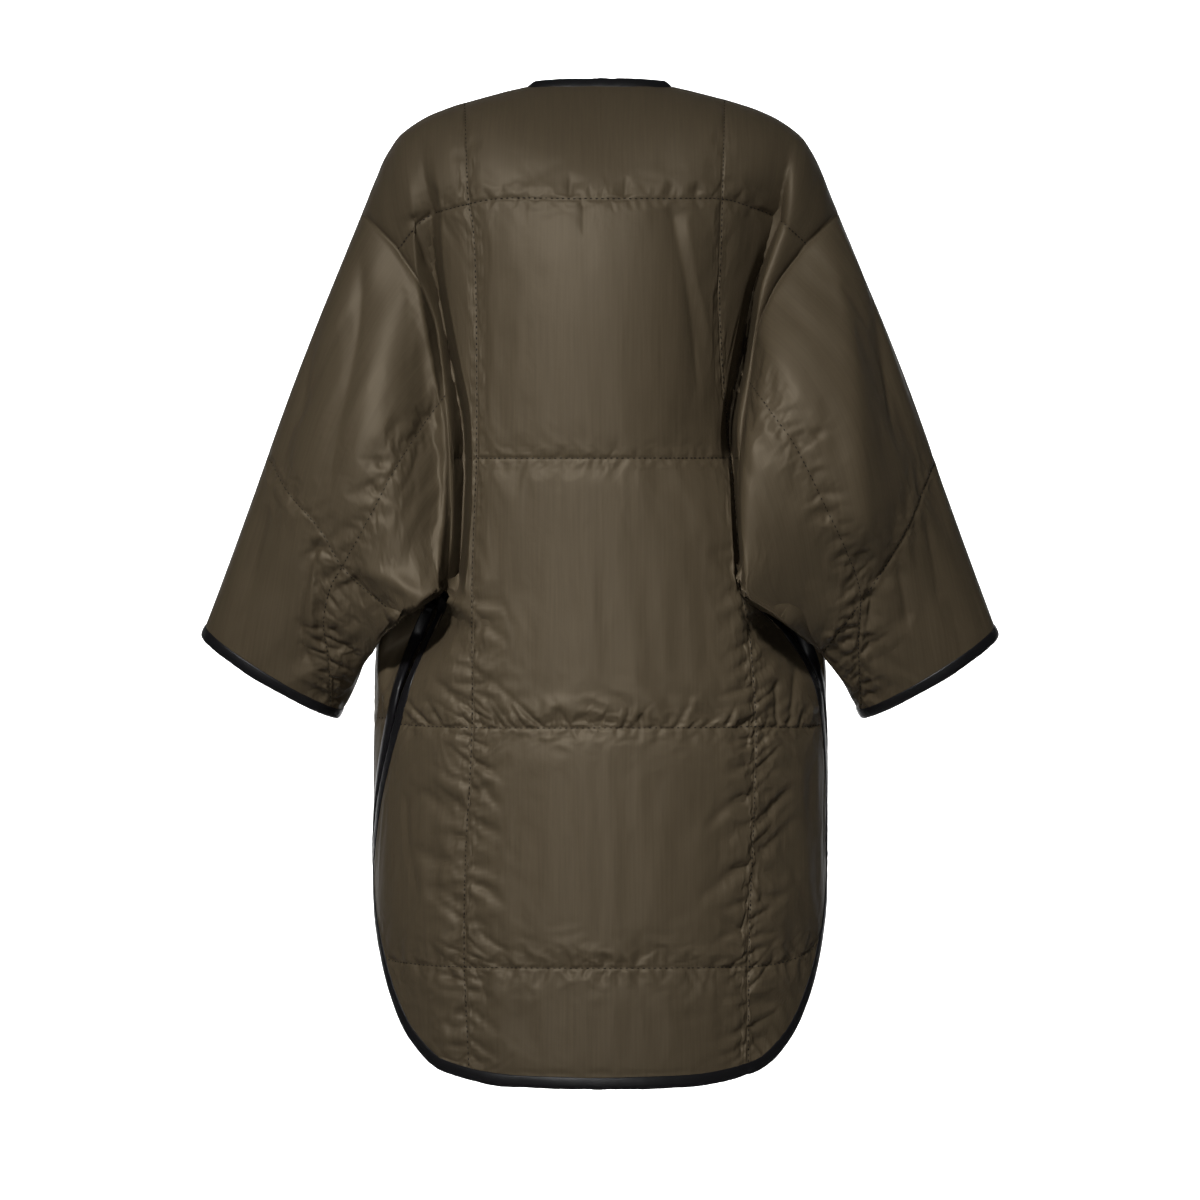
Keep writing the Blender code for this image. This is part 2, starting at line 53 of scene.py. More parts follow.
# Driving sizes of the form, as in the solids
WALL = 0.003
SEAM_GAP = 0.0005
RIDGE_GAP = 0.0008
BINDING_WIDTH = 0.0095
BINDING_THICKNESS = 0.0055
NECK_HALF_WIDTH = 0.072
BACK_NECK_FALL = 0.12
FRONT_NECK_FALL = 0.82
NECK_ROUNDNESS = 2.6
YOKE_LEVEL = 0.121
UNDERARM_LEVEL = 0.500
SLIT_TOP_LEVEL = 0.512
SLIT_GAP = 0.0022
BACK_HEM_LEVEL = 0.977
FRONT_HEM_LEVEL = 0.955
FRONT_OPENING = 0.005
SIDE_SEAM_BLEND = 0.05
NECK_BINDING_LEAN = 0.6
CUFF_HALF_HEIGHT = 0.0805
CUFF_HALF_DEPTH = 0.051
CUFF_MIDDLE = (0.3263, -0.004, -0.5813)
CUFF_TILT = 31.4
CUFF_BACK_DROP = 0.008
SLEEVE_SLANT = 20.9
SLOPE_STEP = 0.02
FINE_STEPS = 240
ROUTE_STEP = 0.006

# How the shoulder cap rounds over, and how the yoke row droops onto the arm
CAP_ANGLE = np.radians(75)
CAP_ROUNDNESS_AT_NECK = 0.35
CAP_ROUND_FROM = 0.5
DROOP_POWER = 6

# The shoulder ridge seen from behind, from the middle of the neck to the dropped armhole
Ridge = namedtuple("Ridge", "out height")
SHOULDER = (
    Ridge(0.000, 0.011),
    Ridge(0.036, 0.0085),
    Ridge(0.072, 0.001),
    Ridge(0.108, -0.008),
    Ridge(0.168, -0.0275),
    Ridge(0.198, -0.047),
    Ridge(0.213, -0.067),
    Ridge(0.2235, -0.090),
    Ridge(0.238, -0.126),
)

# The body's level sections: half widths, depths, fullness of the corners, and the panels' edges in degrees
Section = namedtuple(
    "Section",
    "level half_left half_right back_depth front_depth square_left square_right left right front droop",
)
SECTIONS = (
    Section(0.121, 0.2250, 0.2250, 0.130, 0.112, 1.00, 1.00, 64.0, 64.0, 64, 0.042),
    Section(0.190, 0.2020, 0.2000, 0.146, 0.128, 1.00, 1.00, 59.0, 58.0, 59, 0.020),
    Section(0.250, 0.1950, 0.1910, 0.152, 0.138, 0.96, 1.00, 54.5, 53.5, 57, 0.004),
    Section(0.320, 0.1970, 0.1930, 0.154, 0.143, 0.92, 1.00, 48.5, 48.5, 57, 0.000),
    Section(0.390, 0.2030, 0.2000, 0.155, 0.146, 0.92, 1.00, 44.3, 43.6, 64, 0.000),
    Section(0.450, 0.2100, 0.2090, 0.156, 0.149, 0.94, 1.00, 43.0, 41.2, 84, 0.000),
    Section(0.500, 0.2170, 0.2170, 0.158, 0.152, 0.96, 1.00, 43.5, 44.0, 124, 0.000),
    Section(0.520, 0.2200, 0.2200, 0.159, 0.153, 0.97, 1.00, 47.5, 51.0, 122, 0.000),
    Section(0.550, 0.2235, 0.2235, 0.160, 0.154, 0.98, 1.00, 52.5, 62.0, 120, 0.000),
    Section(0.600, 0.2265, 0.2265, 0.162, 0.156, 1.00, 1.00, 60.0, 75.0, 112, 0.000),
    Section(0.640, 0.2265, 0.2265, 0.163, 0.157, 1.00, 1.00, 65.5, 81.5, 108, 0.000),
    Section(0.680, 0.2265, 0.2265, 0.164, 0.158, 1.00, 1.00, 72.0, 86.0, 102, 0.000),
    Section(0.740, 0.2265, 0.2265, 0.165, 0.158, 1.00, 1.00, 82.0, 89.0, 95, 0.000),
    Section(0.800, 0.2265, 0.2265, 0.165, 0.158, 1.00, 1.00, 90.0, 90.0, 90, 0.000),
    Section(1.000, 0.2265, 0.2265, 0.165, 0.158, 1.00, 1.00, 90.0, 90.0, 90, 0.000),
)

# The hem: how far it rises above its lowest line, from the middle (0) to the slit edge (1)
Hem = namedtuple("Hem", "across rise")
BACK_HEM = (
    Hem(0.00, 0.0000),
    Hem(0.25, 0.0015),
    Hem(0.48, 0.0125),
    Hem(0.62, 0.0390),
    Hem(0.74, 0.0790),
    Hem(0.84, 0.1210),
    Hem(0.93, 0.1600),
    Hem(1.00, 0.2050),
)
FRONT_CORNER = (Hem(0.00, 0.0550), Hem(0.04, 0.0200), Hem(0.12, 0.0030))
FRONT_HEM = FRONT_CORNER + BACK_HEM[1:-1] + (Hem(1.00, BACK_HEM[-1].rise - BACK_HEM_LEVEL + FRONT_HEM_LEVEL),)

# The way the sleeve cloth leaves the armhole, from the top of the arm (0) round the back
# to the underarm (0.5) and up the front to the top again (1), and the crevice it leaves beside the seam
Lead = namedtuple("Lead", "turn out_left out_right back_left back_right up reach crevice_left crevice_right")
LEADS = (
    Lead(0.00, 0.357, 0.357, 0.00, 0.00, -0.934, 0.16, 0.000, 0.000),
    Lead(0.08, 0.55, 0.55, 0.15, 0.15, -0.80, 0.15, 0.000, 0.000),
    Lead(0.16, 0.70, 0.55, 0.30, 0.45, -0.55, 0.14, 0.004, 0.002),
    Lead(0.24, 0.80, 0.15, 0.35, 0.80, -0.35, 0.13, 0.020, 0.002),
    Lead(0.34, 0.85, -0.20, 0.30, 0.85, -0.25, 0.12, 0.030, 0.000),
    Lead(0.42, 0.80, -0.10, 0.30, 0.80, -0.40, 0.11, 0.022, 0.000),
    Lead(0.50, 0.70, 0.40, 0.40, 0.55, -0.55, 0.10, 0.002, 0.000),
    Lead(0.58, 0.80, 0.75, 0.00, 0.00, -0.60, 0.09, 0.000, 0.000),
    Lead(0.68, 0.60, 0.60, -0.65, -0.65, -0.45, 0.11, 0.004, 0.004),
    Lead(0.80, 0.50, 0.50, -0.75, -0.75, -0.40, 0.13, 0.010, 0.010),
    Lead(0.90, 0.50, 0.50, -0.30, -0.30, -0.80, 0.15, 0.002, 0.002),
    Lead(1.00, 0.357, 0.357, 0.00, 0.00, -0.934, 0.16, 0.000, 0.000),
)
CREVICE_PLACE = 0.05
SLEEVE_CLEARANCE = 0.008
CLEAR_FROM_SHARE = 0.06
CLEAR_FROM_LEVEL = UNDERARM_LEVEL - 0.075
CLEAR_BY_LEVEL = UNDERARM_LEVEL - 0.025
CUFF_REACH = 0.15
CUFF_INNER_REACH = 0.11
CUFF_INNER_BACK = 0.05
CUFF_INNER_SLANT = 31.0
CUFF_SWELL = 0.020

# Fineness of the cloth: steps across half the back up to its stitch line and beyond it, steps down between
# its rows of stitching, and points across and down a front and round and along a sleeve
BACK_COLUMN_STEPS = (72, 62)
BACK_ROW_STEPS = (44, 76, 80, 72, 36)
LINE_COLUMN = 0.55
CROWDING = 0.5
FITTING_ROUNDS = 4
SHORTEST_ROW_BAND = 0.010
FRONT_COLUMNS = 85
FRONT_ROWS = 241
SLEEVE_SIDES = 216
SLEEVE_RINGS = 181
NECK_ROW_SETTLING = 8
HEM_ROW_SETTLING = 3
INNER_STEP = 4

# The quilting: how far the wadding lifts the cloth between the stitch lines, and how soon,
# and the narrow groove that each line pulls into it
PUFF = 0.0024
PUFF_SPREAD = 0.010
PUFF_SINK = 0.0012
GROOVE = 0.0012
GROOVE_WIDTH = 0.0016

# The seams: how soon the relief fades towards an edge, how deep and widely the armhole seam pulls the cloth
# in, how far from the shoulders' plane it does so fully, and how near the shoulder line a top edge is
# drawn to it
EDGE_FADE = 0.006
SEAM_DIP = 0.003
SEAM_DIP_WIDTH = 0.003
SEAM_DIP_FROM = 0.03
SHOULDER_CLOSING = 0.004

# How far behind the shoulders' plane the cloth starts to sink into valleys and hollows, and does so fully
VALLEY_DEPTHS = (0.02, 0.06)
POCKET_DEPTHS = (0.00, 0.16)

# Unevenness of the cloth: waves across and down, heights, and the levels between which the fine crumple grows
RIPPLE_WAVES = 36
RIPPLE_PACES = (0.5, 1.6)
DRAPE_SIZE = (0.040, 0.260)
DRAPE_HEIGHT = 0.0002
FINE_CRUMPLE_SIZE = (0.034, 0.026)
FINE_CRUMPLE_HEIGHT = 0.0006
FINE_CRUMPLE_REACH = 0.035
FINE_CRUMPLE_FROM = (0.35, 0.70)
FINE_CRUMPLE_SEED = 100

# Unevenness of the puckers, as ranges of shares of their stated lengths, depths and spacings, their widths,
# how they widen and start away from the line, and how far along it each is worked out
PUCKER_LENGTHS = (0.4, 1.7)
PUCKER_DEPTHS = (0.45, 1.8)
PUCKER_SPACINGS = (0.5, 1.7)
PUCKER_WIDTHS = (0.0020, 0.0040)
PUCKER_LEAN_SPREAD = 0.25
PUCKER_WIDENING = 0.6
PUCKER_START = 0.0025
PUCKER_SHARPNESS = 1.5
PUCKER_LOOK = 0.1
PUCKER_FADED = 3

# How squarely the cloth faces front or back where its relief starts, and where it is whole,
# and the share of the creases on a sleeve's front
OUTLINE_FACING = (0.10, 0.55)
HIDDEN_SHARE = 0.5

# The gathering at the stitch lines: how much the cloth grows, how soon that fades, how far a point may move,
# how near a line or an edge it is held, and how the simulation takes the cloth
GATHER_GROWTH = 0.09
GATHER_EASE = 0.02
GATHER_LIMIT = 0.006
GATHER_FRAMES = 10
HELD_WITHIN = 0.0013
WEIGHT_STEPS = 12
CLOTH_QUALITY = 3
CLOTH_MASS = 0.05
CLOTH_STRETCH = 15
CLOTH_SHEAR = 8
CLOTH_BENDING = 0.02

# Stitching: pitch, the length and radius of the thread that shows, the longest step along the cloth that is
# still sewn, and how far past one layer the next is looked for
STITCH_PITCH = 0.0044
STITCH_LENGTH = 0.0028
THREAD_RADIUS = 0.00048
LONGEST_STEP = 4 * STITCH_LENGTH
NEXT_LAYER = 0.01

# A stitch's rings of points: how far along it, how high in the thread's radii, and how thick
THREAD_SIDES = 6
Ring = namedtuple("Ring", "share lift size")
THREAD_RINGS = (Ring(0.0, -0.6, 0.4), Ring(0.2, 0.5, 1.0), Ring(0.8, 0.5, 1.0), Ring(1.0, -0.6, 0.4))

# A binding's folded section, out from the cloth's edge and up from the middle of its wall,
# in shares of the strip's width and thickness
BINDING_SECTION = (
    (-0.22, 0.24), (-0.21, 0.36), (-0.10, 0.44), (0.20, 0.49), (0.55, 0.50), (0.80, 0.42), (0.95, 0.24),
    (1.00, 0.0), (0.95, -0.24), (0.80, -0.42), (0.55, -0.50), (0.20, -0.49), (-0.10, -0.44), (-0.21, -0.36),
    (-0.22, -0.24),
)
BINDING_WOBBLE = 0.05
WOBBLE_SPAN = 9
WOBBLE_IN_WIDTH = 0.5
NECK_BINDING_GAP = 0.0015

# How round the crest of a fold is, against its width, and the least square of the slant
# that shortens a distance
CREST_ROUNDING = 0.2
LEAST_SQUARED_SLANT = 0.15

# The nylon: its colours and finish, the noise values between which its streaks go from dark to light,
# and its streaks, crumple and weave in steps to the metre across and down, with their detail and relief
NYLON_DARK = (0.040, 0.0300, 0.0178)
NYLON_LIGHT = (0.049, 0.0370, 0.0222)
NYLON_ROUGHNESS = 0.55
NYLON_SPECULAR = 0.27
NYLON_TINT = (1.0, 0.86, 0.66)
STREAK_BAND = (0.3, 0.7)
Grain = namedtuple("Grain", "scale detail strength height")
STREAKS = Grain((420, 14), 3, None, None)
CRUMPLE = Grain((110, 80), 4, 0.35, 0.0006)
WEAVE = Grain((1500, 500), 2, 0.3, 0.0002)

# The leather, with its grain the same all ways, the thread, whose dark colour holds painted shade, and the
# floor
LEATHER_COLOUR = (0.004, 0.0038, 0.0044)
LEATHER_ROUGHNESS = 0.38
LEATHER_SPECULAR = 0.2
LEATHER_GRAIN = Grain(900, 3, 0.4, 0.0004)
# The thread's colour is its own dark olive tone with the painted shade of its needle holes, so the stitch
# lines read as dark dashes.
THREAD_AND_HOLE_SHADE_COLOUR = (0.005, 0.004, 0.003)
THREAD_ROUGHNESS = 0.6
THREAD_SPECULAR = 0.1
FLOOR_COLOUR = (0.9, 0.9, 0.9)
FLOOR_ROUGHNESS = 0.9
FLOOR_SPECULAR = 0.5

# The floor's edge near the camera and its half width, and the backdrop: how far beyond the coat it starts
# to bend up, how widely, how high it rises, and how many points its bend is drawn with
FLOOR_NEAR = 6.0
FLOOR_HALF_WIDTH = 9.0
BACKDROP_AWAY = 4.6
BACKDROP_BEND = 1.8
BACKDROP_HEIGHT = 6.0
BACKDROP_STEPS = 16

# The lamps: places, what they point at and power in watts, with a spot's cone in degrees, the share of it
# that fades to the edge and the lamp's radius, or an area's width and height
Spot = namedtuple("Spot", "place aim power angle blend radius")
KEY = Spot((1.7, 6.1, 3.6), (0.00, 0, -0.58), 7500, 8.5, 1.0, 0.6)
BACKDROP_LAMP = Spot((0, -2.9, 2.6), (0, -5.3, -1.0), 2600, 92, 0.3, 0.3)
Area = namedtuple("Area", "place aim power size")
FRONT_LAMP = Area((0.2, 5.2, -0.2), (0, 0, -0.5), 45, (0.9, 0.9))
AMBIENT = 0.08

# Stitch lines as they show from behind, from place to place, in metres out to the wearer's left and up
BACK_LINES = {
    "left": ((0.136, 0.000), (0.135, -0.028), (0.132, -0.110), (0.127, -0.140), (0.124, -0.207),
             (0.1235, -0.363), (0.128, -0.494), (0.128, -0.640), (0.1335, -0.749), (0.1357, -0.817),
             (0.1357, -0.879), (0.134, -0.921), (0.130, -1.000)),
    "right": ((-0.125, 0.000), (-0.1245, -0.026), (-0.1235, -0.066), (-0.121, -0.164), (-0.1195, -0.213),
              (-0.124, -0.303), (-0.134, -0.413), (-0.143, -0.507), (-0.149, -0.542), (-0.156, -0.638),
              (-0.1536, -0.735), (-0.1508, -0.804), (-0.149, -0.876), (-0.148, -1.000)),
    "yoke": ((0.235, -0.190), (0.203, -0.163), (0.1895, -0.146), (0.169, -0.128), (0.128, -0.116),
             (0.093, -0.111), (0.026, -0.1115), (-0.066, -0.1115), (-0.121, -0.112), (-0.146, -0.1185),
             (-0.175, -0.130), (-0.201, -0.152), (-0.240, -0.190)),
    "middle": ((0.200, -0.371), (0.128, -0.371), (0.000, -0.371), (-0.128, -0.371), (-0.200, -0.371)),
    "low": ((0.240, -0.629), (0.202, -0.637), (0.128, -0.6407), (0.000, -0.641), (-0.104, -0.6407),
            (-0.156, -0.6397), (-0.2077, -0.6397), (-0.240, -0.632)),
    "hem": ((0.226, -0.852), (0.214, -0.871), (0.188, -0.8766), (0.137, -0.880), (0.000, -0.8814),
            (-0.104, -0.8807), (-0.166, -0.8786), (-0.2008, -0.869), (-0.2197, -0.855), (-0.230, -0.842)),
}
FRONT_LINES = {
    "long": ((0.130, 0.000), (0.130, -0.300), (0.132, -0.640), (0.132, -1.000)),
    "yoke": ((0.000, -0.118), (0.120, -0.120), (0.180, -0.140), (0.240, -0.190)),
    "middle": ((0.000, -0.375), (0.250, -0.372)),
    "low": ((0.000, -0.636), (0.250, -0.630)),
    "hem": ((0.000, -0.867), (0.180, -0.862), (0.250, -0.840)),
}
SLEEVE_LINES = {
    "left": {
        "cross": ((0.345, -0.350), (0.329, -0.375), (0.312, -0.4055), (0.280, -0.443), (0.258, -0.480),
                  (0.2274, -0.509), (0.1936, -0.534), (0.160, -0.560)),
        "long": ((0.140, -0.290), (0.1513, -0.304), (0.1733, -0.333), (0.204, -0.380), (0.231, -0.431),
                 (0.258, -0.480), (0.270, -0.502), (0.2764, -0.5357), (0.2714, -0.576), (0.268, -0.640)),
    },
    "right": {
        "cross": ((-0.350, -0.350), (-0.3355, -0.3746), (-0.3115, -0.431), (-0.2876, -0.4755),
                  (-0.260, -0.5166), (-0.2226, -0.566), (-0.190, -0.600)),
        "long": ((-0.140, -0.280), (-0.149, -0.294), (-0.171, -0.325), (-0.195, -0.359), (-0.2226, -0.414),
                 (-0.2465, -0.465), (-0.260, -0.506), (-0.2585, -0.5576), (-0.262, -0.640)),
    },
}

# Short creases across the stitch lines: along which stretch of a line, on which side of it, how far apart,
# how long and deep they are, and how far they lean along the line for each metre away from it
Pucker = namedtuple("Pucker", "line start end side spacing length depth lean")
BACK_PUCKERS = (
    Pucker("left", 0.02, 0.48, 1, 0.016, 0.007, 0.0007, 0.0),
    Pucker("left", 0.02, 0.48, -1, 0.016, 0.007, 0.0007, 0.0),
    Pucker("left", 0.48, 0.98, -1, 0.011, 0.022, 0.0022, 0.45),
    Pucker("left", 0.52, 0.98, 1, 0.012, 0.026, 0.0020, -0.30),
    Pucker("right", 0.02, 0.46, 1, 0.016, 0.007, 0.0007, 0.0),
    Pucker("right", 0.02, 0.46, -1, 0.016, 0.007, 0.0007, 0.0),
    Pucker("right", 0.46, 0.98, 1, 0.011, 0.022, 0.0022, 0.35),
    Pucker("right", 0.50, 0.98, -1, 0.012, 0.030, 0.0024, -0.60),
    Pucker("yoke", 0.10, 0.42, -1, 0.016, 0.010, 0.0011, 0.0),
    Pucker("yoke", 0.10, 0.42, 1, 0.018, 0.012, 0.0009, 0.1),
    Pucker("middle", 0.05, 0.35, 1, 0.012, 0.008, 0.0009, 0.0),
    Pucker("middle", 0.05, 0.35, -1, 0.012, 0.010, 0.0009, 0.0),
    Pucker("low", 0.04, 0.24, -1, 0.016, 0.018, 0.0034, -0.6),
    Pucker("low", 0.24, 0.46, -1, 0.016, 0.018, 0.0034, 0.5),
    Pucker("low", 0.04, 0.46, 1, 0.012, 0.011, 0.0014, 0.0),
    Pucker("hem", 0.04, 0.46, -1, 0.013, 0.015, 0.0018, -0.2),
    Pucker("hem", 0.04, 0.46, 1, 0.012, 0.014, 0.0016, 0.0),
)
FRONT_PUCKERS = (
    Pucker("long", 0.04, 0.95, 1, 0.013, 0.018, 0.0016, 0.3),
    Pucker("long", 0.04, 0.95, -1, 0.013, 0.018, 0.0016, -0.3),
    Pucker("yoke", 0.02, 0.22, 1, 0.016, 0.010, 0.0010, 0.0),
    Pucker("middle", 0.02, 0.22, 1, 0.013, 0.012, 0.0012, 0.0),
    Pucker("low", 0.02, 0.22, 1, 0.013, 0.018, 0.0026, 0.0),
    Pucker("low", 0.02, 0.22, -1, 0.012, 0.012, 0.0014, 0.0),
    Pucker("hem", 0.02, 0.22, 1, 0.013, 0.014, 0.0016, 0.0),
)
SLEEVE_PUCKERS = (
    Pucker("cross", 0.00, 0.26, 1, 0.016, 0.010, 0.0010, 0.0),
    Pucker("cross", 0.00, 0.26, -1, 0.014, 0.016, 0.0014, 0.0),
    Pucker("long", 0.02, 0.24, 1, 0.010, 0.010, 0.0016, 0.0),
    Pucker("long", 0.02, 0.24, -1, 0.010, 0.010, 0.0014, 0.2),
    Pucker("long", 0.24, 0.42, 1, 0.010, 0.024, 0.0028, 0.6),
    Pucker("long", 0.24, 0.42, -1, 0.010, 0.022, 0.0026, -0.6),
)

# Where the cloth is gathered: along which stretch of a line and on which side of it (0 for both),
# what share of the whole growth it takes there, and how far out
Gather = namedtuple("Gather", "line start end side share reach")
BACK_GATHERS = (
    Gather("left", 0.05, 0.50, 0, 0.16, 0.007),
    Gather("right", 0.05, 0.48, 0, 0.16, 0.007),
    Gather("left", 0.50, 0.98, -1, 0.90, 0.020),
    Gather("left", 0.54, 0.98, 1, 0.80, 0.026),
    Gather("right", 0.48, 0.98, 1, 0.90, 0.020),
    Gather("right", 0.52, 0.98, -1, 0.90, 0.030),
    Gather("yoke", 0.08, 0.42, -1, 0.30, 0.012),
    Gather("yoke", 0.08, 0.42, 1, 0.15, 0.010),
    Gather("middle", 0.04, 0.36, 0, 0.22, 0.008),
    Gather("low", 0.04, 0.46, -1, 1.00, 0.018),
    Gather("low", 0.04, 0.46, 1, 0.25, 0.008),
    Gather("hem", 0.04, 0.46, -1, 0.50, 0.014),
    Gather("hem", 0.04, 0.46, 1, 0.45, 0.012),
)
FRONT_GATHERS = (
    Gather("long", 0.05, 0.50, 0, 0.20, 0.008),
    Gather("long", 0.50, 0.95, 0, 0.80, 0.022),
    Gather("yoke", 0.02, 0.22, -1, 0.25, 0.010),
    Gather("middle", 0.02, 0.24, 0, 0.22, 0.008),
    Gather("low", 0.02, 0.24, 1, 0.90, 0.018),
    Gather("hem", 0.02, 0.24, 0, 0.45, 0.012),
)
SLEEVE_GATHERS = (
    Gather("cross", 0.02, 0.24, 0, 0.45, 0.010),
    Gather("long", 0.03, 0.24, 0, 0.60, 0.011),
    Gather("long", 0.22, 0.40, 0, 0.75, 0.018),
)

# Larger creases as they show from behind: where they run, how wide they are on the side towards the coat's
# middle and on the outer side, how deep (a ridge is below zero), and how soon they fade in and out
Crease = namedtuple("Crease", "route inner outer depth fade_in fade_out")
# Valleys beside the sleeves, which sink into the coat: as creases, but in the cloth of both panels
VALLEYS = (
    Crease(((-0.179, -0.128), (-0.167, -0.164), (-0.155, -0.201), (-0.149, -0.241), (-0.143, -0.277),
            (-0.133, -0.320), (-0.131, -0.350), (-0.134, -0.385)), 0.010, 0.006, 0.045, 0.16, 0.03),
    Crease(((-0.133, -0.360), (-0.136, -0.410), (-0.138, -0.450), (-0.142, -0.508)),
           0.005, 0.005, 0.030, 0.02, 0.01),
    Crease(((0.181, -0.035), (0.177, -0.063), (0.173, -0.094), (0.169, -0.121), (0.167, -0.164),
            (0.165, -0.189), (0.158, -0.231), (0.149, -0.282), (0.139, -0.333), (0.137, -0.383),
            (0.140, -0.451), (0.144, -0.495), (0.147, -0.515)), 0.009, 0.018, 0.060, 0.26, 0.02),
)
# The torso's wide flank beside the flap of the right sleeve
FLANKS = (
    Crease(((-0.196, -0.040), (-0.187, -0.082), (-0.179, -0.128), (-0.167, -0.164), (-0.155, -0.201),
            (-0.149, -0.241), (-0.145, -0.277), (-0.134, -0.335), (-0.134, -0.369), (-0.137, -0.438)),
           0.042, 0.004, 0.034, 0.12, 0.10),
)
# Hollows under the sleeves, in the body's cloth only
POCKETS = (
    Crease(((0.156, -0.508), (0.170, -0.528), (0.190, -0.547), (0.215, -0.566), (0.245, -0.586)),
           0.026, 0.050, 0.110, 0.025, 0.02),
    Crease(((-0.162, -0.508), (-0.174, -0.522), (-0.194, -0.545), (-0.215, -0.565), (-0.245, -0.590)),
           0.022, 0.050, 0.110, 0.025, 0.02),
)
# Where a sleeve's cloth bulges over the underarm: the place as it shows, how far round it, and how far
# it moves, and how far from the seam it does so fully
Bulge = namedtuple("Bulge", "out height reach move")
BULGES = {
    "left": Bulge(0.165, -0.500, 0.030, (-0.003, 0.004, -0.003)),
    "right": Bulge(-0.158, -0.500, 0.028, (0.018, 0.014, -0.005)),
}
BULGE_SEAM = 0.022
BACK_CREASES = (
    Crease(((0.192, -0.126), (0.181, -0.145), (0.167, -0.189)), 0.005, 0.006, 0.005, 0.01, 0.02),
    Crease(((-0.071, -0.112), (-0.075, -0.137), (-0.094, -0.238), (-0.103, -0.365)),
           0.008, 0.014, 0.005, 0.02, 0.10),
    Crease(((-0.086, -0.120), (-0.094, -0.180), (-0.114, -0.270)), 0.010, 0.010, -0.0030, 0.03, 0.06),
    Crease(((0.0295, -0.110), (0.031, -0.080)), 0.004, 0.004, 0.0030, 0.004, 0.02),
    Crease(((-0.025, -0.110), (-0.028, -0.080)), 0.005, 0.004, 0.0028, 0.004, 0.02),
    Crease(((-0.0707, -0.110), (-0.0698, -0.086)), 0.004, 0.004, 0.0030, 0.004, 0.015),
    Crease(((-0.098, -0.108), (-0.098, -0.092)), 0.004, 0.004, 0.0022, 0.004, 0.01),
    Crease(((0.076, -0.113), (0.074, -0.150)), 0.005, 0.005, 0.0018, 0.004, 0.03),
    Crease(((0.017, -0.113), (0.016, -0.160)), 0.005, 0.005, 0.0018, 0.004, 0.03),
    Crease(((0.126, -0.795), (0.111, -0.806), (0.089, -0.822)), 0.006, 0.006, 0.0050, 0.01, 0.03),
    Crease(((0.126, -0.841), (0.105, -0.857), (0.082, -0.872)), 0.007, 0.007, 0.0040, 0.01, 0.02),
    Crease(((0.121, -0.694), (0.105, -0.716), (0.092, -0.730)), 0.005, 0.005, 0.0034, 0.01, 0.02),
    Crease(((0.126, -0.735), (0.108, -0.744), (0.092, -0.749)), 0.005, 0.005, 0.0030, 0.01, 0.02),
    Crease(((0.188, -0.760), (0.168, -0.772), (0.142, -0.776)), 0.006, 0.006, 0.0046, 0.01, 0.02),
    Crease(((0.182, -0.700), (0.165, -0.715), (0.142, -0.728)), 0.006, 0.006, 0.0034, 0.01, 0.02),
    Crease(((0.196, -0.690), (0.192, -0.760), (0.176, -0.830)), 0.007, 0.006, 0.0036, 0.03, 0.04),
    Crease(((-0.178, -0.590), (-0.180, -0.640)), 0.005, 0.005, 0.0050, 0.01, 0.01),
    Crease(((-0.197, -0.570), (-0.193, -0.640)), 0.006, 0.005, 0.0046, 0.01, 0.02),
    Crease(((-0.160, -0.735), (-0.200, -0.694)), 0.006, 0.006, 0.0042, 0.01, 0.02),
    Crease(((-0.160, -0.770), (-0.207, -0.722)), 0.007, 0.007, 0.0042, 0.01, 0.02),
    Crease(((-0.148, -0.708), (-0.124, -0.724), (-0.097, -0.748)), 0.005, 0.005, 0.0032, 0.006, 0.03),
    Crease(((-0.148, -0.776), (-0.120, -0.796), (-0.091, -0.817)), 0.005, 0.005, 0.0032, 0.006, 0.03),
)
